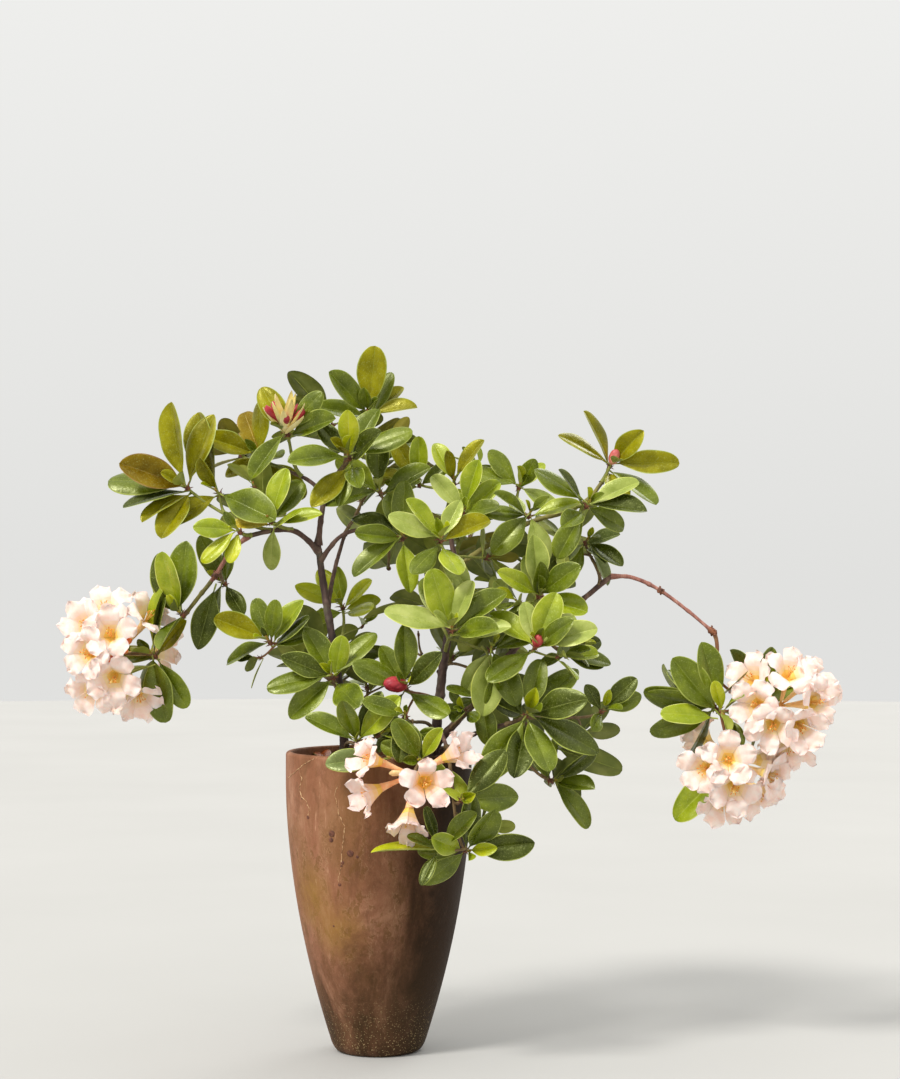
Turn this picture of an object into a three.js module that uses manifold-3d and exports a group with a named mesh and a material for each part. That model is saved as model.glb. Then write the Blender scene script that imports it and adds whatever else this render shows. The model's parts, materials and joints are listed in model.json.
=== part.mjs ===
// Potted vireya rhododendron: a shrub of two stems in a tall tapered clay planter.
// Millimetres, +Z up. The origin is the centre of the pot's flat underside, and the front faces -Y.

import * as THREE from 'three';
import { mergeVertices } from 'three/addons/utils/BufferGeometryUtils.js';
import Module from 'manifold-3d';

const wasm = await Module();
wasm.setup();

// Driving dimensions

// Clear space between two solids that meet.
const SEAT_GAP = 0.3;
// Clear space that leaves and twigs keep to everything outside their own mass.
const CLEARANCE = 0.5;

// Shorter edges than this are left out of a fused solid, and closer vertices than this are welded.
const SHORTEST_EDGE = 0.1;
const WELD = 0.01;

const POT = {
  height: 386,
  rimRadius: 120.5,
  skirtRadius: 57,
  footRadius: 50,
  flareHeight: 352,
  swell: 1.85,
  wall: 10,
  floor: 14,
  lip: 3,
  bevelOut: 5,
  bevelUp: 4,
  skirtHeight: 12,
  sides: 24,
  rings: 8,
  innerRings: 5,
};
const SOIL_TOP = 368;

const LIMB_SIDES = 6;
const TWIG_SIDES = 3;
// A twig's radii, the length of its steps, and the share of its span over which an end keeps its direction.
const TWIG = { foot: 2.6, tip: 1.7, sideFoot: 2.0, sideTip: 1.5, step: 40, hold: 0.35 };
const ROOT_FLARE = { swell: 1.2, fade: 14 };

// A leaf's width, thickness, droop and fold are shares of its length. It is rooted behind the twig's axis.
const LEAF = {
  width: 0.41,
  thickness: 0.026,
  thickest: 0.16,
  droop: [0.028, 0.112],
  fold: 0.03,
  root: 2,
  spacing: 3,
  roll: 44,
  firstLean: 8,
  lean: [-22, 38],
};
// The lengths of a whorl's first leaves, and the range of the others, as shares of the mass's leaf.
const LEAF_LENGTH = { first: [1, 0.94], others: [0.7, 0.98] };
// The leaf's outline as shares of its length and of half its width.
const LEAF_OUTLINE = [[0, 0], [0.42, -0.9], [0.78, -0.9], [1, 0], [0.78, 0.9], [0.42, 0.9]];
// Degrees by which a leaf that would touch something is turned and lifted, in the order of trying.
const LEAF_TRIES = [[0, 0], [8, 12], [-8, -12], [14, -18], [-14, 18], [22, 26], [-22, -26]];
// A whorl's leaves by the golden angle, how many of them back a listed fan, and their rise in degrees.
const WHORL = { leaves: 6, extra: 1, rise: [49, 75], turn: 137.5 };
const SHOOT_TRIES = 5;
// Where along the stem the twigs of its other listed whorls leave.
const FORK_AT = 0.5;
// Where along the stem the side shoots leave, and how strongly they point along it, up and to the back.
const SHOOT = {
  first: 0.4,
  next: 0.15,
  length: [0.75, 1.05],
  along: 0.5,
  up: 0.1,
  back: 1.2,
  backOfBack: 0.35,
  turnedUp: 0.5,
};
// How far out along its length a bud is centred.
const BUD_OUT = 0.42;
// A flower's sizes, how far its face is turned to the front, and how far the hidden ones point behind.
const FLOWER = {
  tubeRadius: 9,
  lobe: 33,
  notch: 18,
  flare: 7,
  lip: 1,
  stalk: 1.5,
  hub: 12,
  turned: 0.4,
  behind: 35,
};

// The crown's middle line, and the distance from it at which a shoot leans out fully.
const CROWN = { x: 80, y: 20, spread: 300 };
// The parts of a shoot's direction that point outwards, to the front and up.
const AIM = { out: 0.6, front: 0.95, up: 0.75 };

// Limbs: each starts on the soil or on the axis of another limb, at a share of that limb's length.
const LIMBS = [
  { name: 'trunk_left', radii: [5.8, 4.2], path: [[-41, -15, 358], [-43, -17, 384], [-48, -20, 455],
    [-59, -15, 530], [-71, -5, 595], [-79, 0, 653]] },
  { name: 'trunk_right', radii: [7.2, 4.0], path: [[68, 8, 358], [71, 9, 384], [79, 10, 451],
    [84, 6, 500], [93, 0, 550], [102, 0, 594], [100, 0, 631]] },
  { name: 'bough_top', from: 'trunk_left', at: 1, radii: [3.9, 2.6], path: [[-76, -2, 680], [-71, -4, 715],
    [-58, -6, 740], [-36, 8, 768], [-24, 22, 796]] },
  { name: 'bough_upper_left', from: 'bough_top', at: 0.4, radii: [3.0, 2.3], path: [[-90, 8, 738],
    [-118, 18, 750]] },
  { name: 'bough_left', from: 'trunk_left', at: 0.97, radii: [3.8, 3.0], path: [[-104, -15, 672],
    [-132, -30, 673], [-166, -38, 664]] },
  { name: 'bough_left_hanging', from: 'bough_left', at: 1, radii: [2.9, 2.3], path: [[-190, -34, 645],
    [-210, -24, 612], [-236, -28, 580], [-264, -34, 540]] },
  { name: 'bough_inner', from: 'trunk_left', at: 0.93, radii: [3.2, 2.4], path: [[-50, -4, 668],
    [-20, -6, 674]] },
  { name: 'bough_upper_middle', from: 'trunk_right', at: 1, radii: [3.6, 2.6], path: [[94, 6, 660],
    [90, 14, 700]] },
  { name: 'bough_upper_right', from: 'trunk_right', at: 0.97, radii: [3.6, 2.6], path: [[134, 2, 648],
    [171, 2, 670], [203, 2, 686], [243, -6, 695], [274, -8, 712], [290, 2, 734]] },
  { name: 'bough_right', from: 'trunk_right', at: 0.12, radii: [5.4, 3.2], path: [[106, 6, 428],
    [135, 2, 464], [163, 0, 503], [192, 4, 534], [242, 5, 562], [284, 2, 598], [302, -2, 612]] },
  { name: 'bough_arching', from: 'bough_right', at: 1, radii: [2.7, 2.1], path: [[328, -6, 613],
    [364, -15, 596], [402, -24, 566], [432, -30, 540]] },
  { name: 'bough_low_right', from: 'trunk_right', at: 0.05, radii: [3.8, 2.6], path: [[104, -20, 400],
    [136, -44, 416], [164, -66, 424]] },
  { name: 'bough_front', from: 'trunk_right', at: 0.09, radii: [3.6, 2.5], path: [[74, -48, 412],
    [80, -104, 420], [88, -136, 402]] },
  { name: 'bough_back_left', from: 'trunk_left', at: 0.72, radii: [3.2, 2.3], path: [[-60, 40, 622],
    [-48, 78, 668]] },
  { name: 'bough_back_middle', from: 'trunk_right', at: 0.62, radii: [3.4, 2.4], path: [[96, 50, 580],
    [102, 96, 616]] },
  { name: 'bough_back_right', from: 'bough_right', at: 0.5, radii: [3.2, 2.3], path: [[196, 48, 556],
    [216, 92, 578]] },
  { name: 'bough_back_low', from: 'trunk_right', at: 0.25, radii: [3.2, 2.3], path: [[80, 60, 462],
    [78, 100, 484]] },
];

// Masses of foliage. Each has one stem, from a limb to its first whorl, and its other whorls branch off it.
// A fan lists a whorl's leaves as angles seen from the front, from +X towards +Z, the longest leaf first,
// and a whorl may have a leaf length of its own.
// The faces of a truss list such an angle for each flower, and the angle by which it turns from that view.
const MASSES = [
  { name: 'far_left', limb: 'bough_left', at: 0.72, leaf: 110, whorls: [
    { place: [-250, -25, 730], fan: [103, 170, 72, 148, 190, 241] },
    { place: [-209, -14, 722], fan: [118, 327] }] },
  { name: 'left_shoulder', limb: 'bough_left', at: 0.45, leaf: 76, shoots: 1, whorls: [
    { place: [-139, -55, 686], fan: [158, 127, 84, 65, 12, 190, 262] }] },
  { name: 'left_elbow', limb: 'bough_left', at: 0.97, leaf: 64, whorls: [
    { place: [-178, -62, 672], fan: [219, 174, 250] }] },
  { name: 'left_hanging', limb: 'bough_left_hanging', at: 0.36, leaf: 76, whorls: [
    { place: [-204, 4, 606], fan: [252, 117, 304, 90] }] },
  { name: 'left_outer', limb: 'bough_left_hanging', at: 0.8, leaf: 94, whorls: [
    { place: [-252, -58, 566], fan: [84, 107, 232, 130] }] },
  { name: 'left_bloom', limb: 'bough_left_hanging', at: 1, leaf: 92, whorls: [
    { place: [-290, -38, 513], fan: [280, 80, 250, 50, 300] }],
    trusses: [{ hub: [-332, -44, 513], reach: 70, behind: 3,
      faces: [[95, 26], [176, 29], [274, 29], [105, 80], [50, 85], [238, 60], [298, 80], [134, 57]] }] },
  { name: 'left_inner', limb: 'trunk_left', at: 0.56, leaf: 76, whorls: [
    { place: [-139, -60, 531], fan: [156, 206, 109, 84, 57, 19] }] },
  { name: 'stem_high', limb: 'trunk_left', at: 0.4, leaf: 68, shoots: 1, whorls: [
    { place: [-51, 45, 575], fan: [157, 123, 96, 48, 19, 194] }] },
  { name: 'stem_low', limb: 'trunk_left', at: 0.28, leaf: 86, shoots: 1, whorls: [
    { place: [-57, -70, 487], fan: [187, 47, 159, 219, 117, 75] }] },
  { name: 'stem_foot', limb: 'trunk_left', at: 0.1, leaf: 80, whorls: [
    { place: [-24, -104, 406], fan: [44, 152, 98, 67, 240] }] },
  { name: 'low_bud', limb: 'trunk_right', at: 0.3, leaf: 80, whorls: [
    { place: [36, -75, 474], fan: [90, 153, 45, 236, 120] }],
    bud: { aim: [-0.85, -0.3, 0.1], length: 31, width: 19 } },
  { name: 'crown_left', limb: 'bough_upper_left', at: 1, leaf: 80, shoots: 1, whorls: [
    { place: [-159, 30, 772], fan: [160, 90, 111, 200, 320] }] },
  { name: 'crown_bud', limb: 'bough_upper_left', at: 0.7, leaf: 78, whorls: [
    { place: [-120, -20, 800], fan: [232, 50, 117, 20] }],
    bud: { aim: [0.05, -0.4, 0.9], length: 48, width: 26 } },
  { name: 'crown_front', limb: 'bough_top', at: 0.6, leaf: 90, shoots: 1, whorls: [
    { place: [-38, -40, 768], fan: [22, 180, 140, 90, 68, 37, 252, 220] }] },
  { name: 'crown_top', limb: 'bough_top', at: 1, leaf: 90, whorls: [
    { place: [-15, 30, 828], fan: [82, 134, 15, 169, 50] },
    { place: [-28, 92, 786] }] },
  { name: 'inner', limb: 'bough_inner', at: 1, leaf: 84, shoots: 1, whorls: [
    { place: [31, -30, 665], fan: [220, 157, 175, 279, 108] },
    { place: [1, 10, 725], fan: [192, 95, 24, 140] }] },
  { name: 'upper_middle', limb: 'bough_upper_middle', at: 1, leaf: 68, shoots: 1, whorls: [
    { place: [98, 20, 738], fan: [58, 117, 90, 20] },
    { place: [52, 45, 738], fan: [130, 76, 170, 40] }] },
  { name: 'middle_high', limb: 'bough_upper_middle', at: 0.55, leaf: 70, whorls: [
    { place: [110, -20, 698], fan: [73, 129, 11, 40] }] },
  { name: 'middle_front', limb: 'trunk_right', at: 0.9, leaf: 74, shoots: 1, whorls: [
    { place: [81, -75, 661], fan: [157, 123, 63, 27, 224, 300] }] },
  { name: 'upper_right_inner', limb: 'bough_upper_right', at: 0.32, leaf: 74, whorls: [
    { place: [184, 15, 732], fan: [163, 330, 119, 46, 63, 206] },
    { place: [196, -28, 694], fan: [225, 290, 170, 20] }] },
  { name: 'upper_right', limb: 'bough_upper_right', at: 0.78, leaf: 84, shoots: 1, whorls: [
    { place: [270, -46, 706], fan: [145, 358, 26, 335, 123, 239] }] },
  { name: 'top_right', limb: 'bough_upper_right', at: 1, leaf: 90, whorls: [
    { place: [304, 10, 760], fan: [1, 146, 112, 50, 323] }],
    bud: { aim: [0.3, -0.3, 0.8], length: 22, width: 13 } },
  { name: 'right_shoulder', limb: 'bough_right', at: 0.94, leaf: 68, whorls: [
    { place: [272, 15, 660], fan: [305, 328, 210, 240, 20] }] },
  { name: 'right_middle', limb: 'bough_right', at: 0.68, leaf: 78, shoots: 1, whorls: [
    { place: [208, -35, 590], fan: [98, 149, 41, 219, 348, 75] }] },
  { name: 'right_knee', limb: 'bough_right', at: 0.6, leaf: 60, whorls: [
    { place: [248, 36, 512], fan: [349, 20, 200] }] },
  { name: 'right_bud', limb: 'bough_right', at: 0.4, leaf: 82, whorls: [
    { place: [201, -95, 526], fan: [17, 144, 102, 69, 34, 206] }],
    bud: { aim: [0.2, -0.75, 0.6], length: 20, width: 13 } },
  { name: 'middle', limb: 'trunk_right', at: 0.56, leaf: 90, shoots: 1, whorls: [
    { place: [95, -95, 547], fan: [161, 124, 70, 38, 107, 5] },
    { place: [145, -70, 522], fan: [265, 290, 245] }] },
  { name: 'middle_low', limb: 'bough_right', at: 0.08, leaf: 68, whorls: [
    { place: [131, -64, 462], fan: [281, 323, 140, 200] }] },
  { name: 'centre_low', limb: 'trunk_right', at: 0.16, leaf: 64, whorls: [
    { place: [37, -118, 440], fan: [255, 150, 290, 200] }] },
  { name: 'low_right', limb: 'bough_low_right', at: 1, leaf: 104, shoots: 1, whorls: [
    { place: [190, -95, 440], fan: [333, 236, 21, 295, 83, 138, 45] },
    { place: [288, -58, 443], leaf: 60, fan: [46, 20, 120] }] },
  { name: 'lowest_right', limb: 'bough_low_right', at: 0.75, leaf: 76, whorls: [
    { place: [226, -52, 352], fan: [310, 31, 353, 110], aim: [0.6, -0.6, 0.1] }] },
  { name: 'pot_front', limb: 'bough_front', at: 1, leaf: 84, whorls: [
    { place: [115, -166, 276], fan: [8, 51, 223, 80, 178], aim: [0.4, -0.9, 0.1] },
    { place: [108, -168, 338], fan: [34, 350, 300], aim: [0.2, -1, 0.2] }] },
  { name: 'front_bloom', limb: 'bough_front', at: 0.72, leaf: 62, whorls: [
    { place: [56, -132, 384], fan: [120, 60, 160], aim: [-0.3, -0.9, 0.1] }],
    trusses: [{ hub: [47, -160, 368], reach: 64, behind: 0,
      faces: [[342, 18], [158, 75], [202, 80], [264, 70], [28, 80]] }] },
  { name: 'right_bloom', limb: 'bough_arching', at: 1, leaf: 96, whorls: [
    { place: [440, -35, 438], fan: [104, 136, 199, 171, 246, 160], aim: [0.6, -0.5, -0.4] },
    { place: [486, 4, 462], leaf: 72, fan: [22, 114, 60] }],
    trusses: [
      { hub: [454, -30, 374], reach: 62, behind: 2,
        faces: [[146, 13], [190, 46], [268, 34], [310, 75], [254, 75], [341, 75]] },
      { hub: [516, -34, 446], reach: 62, behind: 3,
        faces: [[137, 75], [78, 56], [175, 42], [236, 31], [311, 36], [9, 53], [281, 80], [41, 75]] }] },
  { name: 'back_left', limb: 'bough_back_left', at: 1, leaf: 84, shoots: 2, whorls: [
    { place: [-30, 124, 724] }] },
  { name: 'back_middle', limb: 'bough_back_middle', at: 1, leaf: 86, shoots: 3, whorls: [
    { place: [104, 138, 684] }] },
  { name: 'back_right', limb: 'bough_back_right', at: 1, leaf: 86, shoots: 3, whorls: [
    { place: [212, 138, 630] }] },
  { name: 'back_low', limb: 'bough_back_low', at: 1, leaf: 86, shoots: 2, whorls: [
    { place: [96, 150, 508] }] },
  { name: 'back_foot', limb: 'trunk_left', at: 0.2, leaf: 80, shoots: 1, whorls: [
    { place: [-20, 90, 470] }] },
];

const MATERIALS = {
  clay: new THREE.MeshStandardMaterial({ color: 0x8f6647, roughness: 0.75, metalness: 0 }),
  soil: new THREE.MeshStandardMaterial({ color: 0x3d2a1d, roughness: 0.95, metalness: 0 }),
  bark: new THREE.MeshStandardMaterial({ color: 0x5b4034, roughness: 0.85, metalness: 0 }),
  foliage: new THREE.MeshStandardMaterial({ color: 0x4d7a2f, roughness: 0.45, metalness: 0 }),
};

// Numbers and directions

// A repeatable run of numbers from 0 to 1.
function seeded(seed) {
  let state = seed * 7919 + 17;
  return () => {
    state = (state * 48271) % 2147483647;
    return state / 2147483647;
  };
}

// The number at a share of the way through a range.
const between = ([low, high], share) => low + (high - low) * share;
const vector = (xyz) => new THREE.Vector3(...xyz);
const radians = THREE.MathUtils.degToRad;

// The part of a direction that is square to an axis, at unit length.
function squareTo(direction, axis) {
  return direction.clone().addScaledVector(axis, -direction.dot(axis)).normalize();
}

// Any unit vector square to an axis.
function anySquare(axis) {
  const helper = Math.abs(axis.z) < 0.9 ? vector([0, 0, 1]) : vector([1, 0, 0]);
  return squareTo(helper, axis);
}

// The unit vector at an angle in the view from the front, leaning towards that view.
function frontDirection(angle, lean) {
  return vector([Math.cos(angle) * Math.cos(lean), -Math.sin(lean), Math.sin(angle) * Math.cos(lean)]);
}

// Lines

// Each inner corner is replaced by two points a quarter of the way to its neighbours.
function cutCorners(points) {
  const smooth = [points[0]];
  for (let i = 1; i < points.length - 1; i++) {
    smooth.push(points[i].clone().lerp(points[i - 1], 0.25));
    smooth.push(points[i].clone().lerp(points[i + 1], 0.25));
  }
  smooth.push(points.at(-1));
  return smooth;
}

// The distance of each point of a line from its start.
function distances(line) {
  const run = [0];
  for (let i = 1; i < line.length; i++) run.push(run[i - 1] + line[i].distanceTo(line[i - 1]));
  return run;
}

// The point and direction at a share of a line's length.
function alongLine(line, share) {
  const run = distances(line);
  const goal = share * run.at(-1);
  let i = 1;
  while (i < line.length - 1 && run[i] < goal) i++;
  const direction = line[i].clone().sub(line[i - 1]).normalize();
  return { point: line[i - 1].clone().addScaledVector(direction, goal - run[i - 1]), direction };
}

// A twig's bent line, which leaves its limb half along it and arrives in the whorl's direction.
function bentLine(start, startDirection, end, endDirection) {
  const span = start.distanceTo(end);
  const leave = end.clone().sub(start).normalize().add(startDirection).normalize();
  const curve = new THREE.CubicBezierCurve3(
    start,
    start.clone().addScaledVector(leave, span * TWIG.hold),
    end.clone().addScaledVector(endDirection, -span * TWIG.hold),
    end,
  );
  const steps = Math.max(2, Math.round(span / TWIG.step));
  return curve.getPoints(steps);
}

// Closed solids

// A solid from a closed mesh whose vertices are merged where they lie closer than a tolerance.
function toSolid(geometry, tolerance = 1e-4) {
  geometry.deleteAttribute('normal');
  geometry.deleteAttribute('uv');
  const merged = mergeVertices(geometry, tolerance);
  const vertProperties = merged.attributes.position.array;
  return new wasm.Manifold(new wasm.Mesh({ numProp: 3, vertProperties, triVerts: merged.index.array }));
}

function toGeometry(solid) {
  const mesh = solid.getMesh();
  const geometry = new THREE.BufferGeometry();
  geometry.setAttribute('position', new THREE.BufferAttribute(mesh.vertProperties, 3));
  geometry.setIndex(new THREE.BufferAttribute(mesh.triVerts, 1));
  return geometry;
}

// The largest piece of a solid, without edges too short to matter: scraps and sealed hollows are dropped.
function largestPiece(solid) {
  const welded = toSolid(toGeometry(solid.asOriginal().simplify(SHORTEST_EDGE)), WELD);
  const pieces = welded.asOriginal().simplify(SHORTEST_EDGE).decompose();
  return pieces.reduce((best, piece) => (piece.volume() > best.volume() ? piece : best));
}

function closedBody(points, faces) {
  const geometry = new THREE.BufferGeometry().setFromPoints(points);
  geometry.setIndex(faces.flat());
  const triVerts = new Uint32Array(geometry.index.array);
  return new wasm.Manifold(
    new wasm.Mesh({ numProp: 3, vertProperties: geometry.attributes.position.array, triVerts }),
  );
}

// Faces that join rings of equal size in a row and close both ends.
function ringFaces(rings, sides) {
  const faces = [];
  for (let ring = 0; ring < rings - 1; ring++) {
    for (let side = 0; side < sides; side++) {
      const a = ring * sides + side;
      const b = ring * sides + ((side + 1) % sides);
      faces.push([a, b, b + sides], [a, b + sides, a + sides]);
    }
  }
  const last = (rings - 1) * sides;
  for (let side = 1; side < sides - 1; side++) {
    faces.push([0, side + 1, side], [last, last + side, last + side + 1]);
  }
  return faces;
}

// A round-sectioned limb along a line, grown all round by a margin where one is given.
function sweep(line, radii, sides, margin = 0) {
  const points = [];
  let across = null;
  line.forEach((centre, i) => {
    const before = line[Math.max(i - 1, 0)];
    const after = line[Math.min(i + 1, line.length - 1)];
    const tangent = after.clone().sub(before).normalize();
    across = across ? squareTo(across, tangent) : anySquare(tangent);
    const up = tangent.clone().cross(across);
    const overrun = i === 0 ? -margin : i === line.length - 1 ? margin : 0;
    const middle = centre.clone().addScaledVector(tangent, overrun);
    const radius = radii[i] + margin / Math.cos(Math.PI / sides);
    for (let side = 0; side < sides; side++) {
      const angle = (side / sides) * 2 * Math.PI;
      points.push(middle.clone()
        .addScaledVector(across, radius * Math.cos(angle))
        .addScaledVector(up, radius * Math.sin(angle)));
    }
  });
  return closedBody(points, ringFaces(line.length, sides));
}

// Space test

// A shape is a small convex set: its corner points, face directions and edges, with a radius round it.
function makeShape(points, normals, edges, radius, owner) {
  const centre = points.reduce((sum, p) => sum.add(p), new THREE.Vector3()).divideScalar(points.length);
  const bound = Math.max(...points.map((p) => p.distanceTo(centre))) + radius;
  return { points, normals, edges, radius, centre, bound, ...owner };
}

// The clear distance between two sets of points along an axis, negative where they overlap.
function gapAlong(axis, a, b) {
  const onA = a.map((p) => p.dot(axis));
  const onB = b.map((p) => p.dot(axis));
  return Math.max(Math.min(...onB) - Math.max(...onA), Math.min(...onA) - Math.max(...onB));
}

// Whether some direction shows two shapes apart by more than their radii and the clearance.
function apart(a, b) {
  const need = a.radius + b.radius + CLEARANCE;
  if (a.centre.distanceTo(b.centre) > a.bound + b.bound + CLEARANCE) return true;
  const axes = [a.centre.clone().sub(b.centre), ...a.normals, ...b.normals];
  for (const edgeA of a.edges) {
    for (const edgeB of b.edges) axes.push(edgeA.clone().cross(edgeB));
  }
  return axes.some((axis) => {
    const length = axis.length();
    return length > 1e-6 && gapAlong(axis.clone().divideScalar(length), a.points, b.points) > need;
  });
}

function lineShapes(line, radii, owner) {
  return line.slice(1).map((end, i) => makeShape(
    [line[i], end], [], [end.clone().sub(line[i])], Math.max(radii[i], radii[i + 1]), owner,
  ));
}

// The pot

// The pot's outer radius at a height.
function potRadius(z) {
  const below = Math.max(0, 1 - z / POT.flareHeight);
  return POT.rimRadius - (POT.rimRadius - POT.skirtRadius) * below ** POT.swell;
}

function potHeights(from, to, rings) {
  return Array.from({ length: rings + 1 }, (_, i) => from + ((to - from) * i) / rings);
}

function makePot() {
  const { height, footRadius, wall, floor, lip, bevelOut, bevelUp } = POT;
  const { skirtHeight, rings, innerRings, sides } = POT;
  const profile = [[0, 0], [footRadius, 0], [footRadius + bevelOut, bevelUp]];
  for (const z of potHeights(skirtHeight, height - lip, rings)) profile.push([potRadius(z), z]);
  profile.push([potRadius(height) - lip, height], [potRadius(height) - wall + lip, height]);
  for (const z of potHeights(height - lip, floor, innerRings)) profile.push([potRadius(z) - wall, z]);
  profile.push([0, floor]);
  return lathe(profile, sides);
}

function makeSoil() {
  const profile = [[0, POT.floor + SEAT_GAP]];
  for (const z of potHeights(POT.floor + SEAT_GAP, SOIL_TOP, POT.innerRings)) {
    profile.push([potRadius(z) - POT.wall - 2 * SEAT_GAP, z]);
  }
  profile.push([0, SOIL_TOP]);
  return lathe(profile, POT.sides);
}

function lathe(profile, sides) {
  const geometry = new THREE.LatheGeometry(profile.map(([r, z]) => new THREE.Vector2(r, z)), sides);
  geometry.rotateX(Math.PI / 2);
  return geometry;
}

// Whether a point lies in the pot or in the space over its soil.
function inPot(point) {
  const radius = Math.hypot(point.x, point.y);
  return point.z < POT.height + CLEARANCE && radius < potRadius(point.z) + CLEARANCE;
}

// Limbs

function limbRadii(row, line) {
  const run = distances(line);
  const [foot, tip] = row.radii;
  return run.map((distance) => {
    const radius = foot + ((tip - foot) * distance) / run.at(-1);
    const flare = ROOT_FLARE.swell * Math.exp(-distance / ROOT_FLARE.fade);
    return row.from ? radius : radius * (1 + flare);
  });
}

// All that lies below the top of the soil, where a trunk is cut flat.
function makeGround() {
  const depth = 60;
  const geometry = new THREE.BoxGeometry(3 * POT.rimRadius, 3 * POT.rimRadius, depth);
  geometry.translate(0, 0, SOIL_TOP + SEAT_GAP - depth / 2);
  return toSolid(geometry);
}

const ground = makeGround();
const limbs = new Map();
for (const row of LIMBS) {
  const points = row.path.map(vector);
  if (row.from) points.unshift(alongLine(limbs.get(row.from).line, row.at).point);
  const line = cutCorners(points);
  const radii = limbRadii(row, line);
  limbs.set(row.name, {
    line,
    solid: row.from ? sweep(line, radii, LIMB_SIDES) : sweep(line, radii, LIMB_SIDES).subtract(ground),
    grown: sweep(line, radii, LIMB_SIDES, SEAT_GAP),
    shapes: lineShapes(line, radii, { limb: row.name }),
  });
}

// Each limb is cut clear of the limbs before it, so a bough is seated on its parent.
const seated = [];
for (const [name, limb] of limbs) {
  const earlier = seated.reduce((piece, other) => piece.subtract(other), limb.solid);
  limb.solid = largestPiece(earlier);
  seated.push(limbs.get(name).grown);
}

// Leaves, flowers and buds

// A blade from its root: an outline of six points, raised and lowered where the stalk meets the blade.
function makeLeaf(root, direction, normal, length, droop) {
  const across = normal.clone().cross(direction);
  const halfWidth = (LEAF.width * length) / 2;
  const at = (share, side, lift) => root.clone()
    .addScaledVector(direction, share * length)
    .addScaledVector(across, side * halfWidth)
    .addScaledVector(normal, lift + Math.abs(side) * LEAF.fold * length - droop * length * share ** 2);
  const half = (LEAF.thickness * length) / 2;
  const points = LEAF_OUTLINE.map(([share, side]) => at(share, side, 0));
  points.push(at(LEAF.thickest, 0, half), at(LEAF.thickest, 0, -half));
  const [top, bottom] = [points.length - 2, points.length - 1];
  const faces = LEAF_OUTLINE.flatMap((_, i) => {
    const next = (i + 1) % LEAF_OUTLINE.length;
    return [[top, i, next], [bottom, next, i]];
  });
  return { points, faces, normal };
}

// A leaf's shape, and the shape of its blade without the stalk, which keeps clear of its own whorl too.
function leafShape(leaf, owner) {
  const { points, normal } = leaf;
  const corners = LEAF_OUTLINE.length;
  const edges = LEAF_OUTLINE.map((_, i) => points[(i + 1) % corners].clone().sub(points[i]));
  const blade = makeShape(points.slice(1, corners), [normal], edges.slice(1, -1), 0, owner);
  return makeShape(points, [normal], edges, 0, { ...owner, blade });
}

// A flower from its truss's hub: a tube of five sides and a star of ten points, turned to face its own way.
function makeFlower(hub, direction, facing, reach, turn) {
  const lobes = 5;
  const ring = (centre, axis, radii) => radii.map((radius, i) => {
    const across = anySquare(axis);
    const up = axis.clone().cross(across);
    const angle = turn + (i / radii.length) * 2 * Math.PI;
    return centre.clone()
      .addScaledVector(across, radius * Math.cos(angle))
      .addScaledVector(up, radius * Math.sin(angle));
  });
  const mouth = hub.clone().addScaledVector(direction, reach - FLOWER.flare);
  const face = mouth.clone().addScaledVector(facing, FLOWER.flare);
  const throat = mouth.clone().addScaledVector(facing, FLOWER.lip);
  const star = Array.from({ length: 2 * lobes }, (_, i) => (i % 2 ? FLOWER.notch : FLOWER.lobe));
  const rim = ring(face, facing, star);
  const points = [
    ...ring(hub, direction, Array(lobes).fill(FLOWER.stalk)),
    ...ring(mouth, facing, Array(lobes).fill(FLOWER.tubeRadius)),
    ...rim,
    throat,
  ];
  const faces = ringFaces(2, lobes).filter((corners) => !corners.every((k) => k >= lobes));
  for (let i = 0; i < lobes; i++) {
    const next = (i + 1) % lobes;
    const [left, middle, right] = [2 * i, 2 * i + 1, (2 * i + 2) % (2 * lobes)].map((k) => 2 * lobes + k);
    const [from, to, centre] = [lobes + i, lobes + next, points.length - 1];
    faces.push([from, middle, left], [from, to, middle], [to, right, middle]);
    faces.push([left, middle, centre], [middle, right, centre]);
  }
  return { points, rim, faces };
}

function flowerShape(flower, hub, direction, owner) {
  const tips = flower.rim.filter((_, i) => i % 2 === 0);
  const edges = tips.flatMap((tip, i) => [
    tip.clone().sub(hub),
    tips[(i + 1) % tips.length].clone().sub(tip),
  ]);
  return makeShape([hub, ...tips], [direction], edges, 0, owner);
}

// An egg-shaped solid along its aim.
function makeEgg({ centre, aim, length, width }) {
  const geometry = new THREE.SphereGeometry(0.5, 6, 4);
  geometry.scale(width, length, width);
  geometry.applyQuaternion(new THREE.Quaternion().setFromUnitVectors(vector([0, 1, 0]), aim));
  geometry.translate(...centre.toArray());
  return toSolid(geometry);
}

// A mass's eggs: the bud at its first whorl and the hubs of its trusses.
function massEggs(mass) {
  const [up, size] = [vector([0, 0, 1]), FLOWER.hub];
  const eggs = mass.hubs.map((hub) => ({ centre: hub, aim: up, length: size, width: size }));
  if (mass.bud) {
    const aim = vector(mass.bud.aim).normalize();
    const centre = mass.whorls[0].tip.clone().addScaledVector(aim, mass.bud.length * BUD_OUT);
    eggs.push({ centre, aim, length: mass.bud.length, width: mass.bud.width });
  }
  return eggs;
}

function eggShape({ centre, aim, length, width }, owner) {
  const reach = (length - width) / 2;
  const ends = [-reach, reach].map((along) => centre.clone().addScaledVector(aim, along));
  return makeShape(ends, [], [aim], width / 2, owner);
}

// Growth

const placed = [...limbs.values()].flatMap((limb) => limb.shapes);

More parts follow.
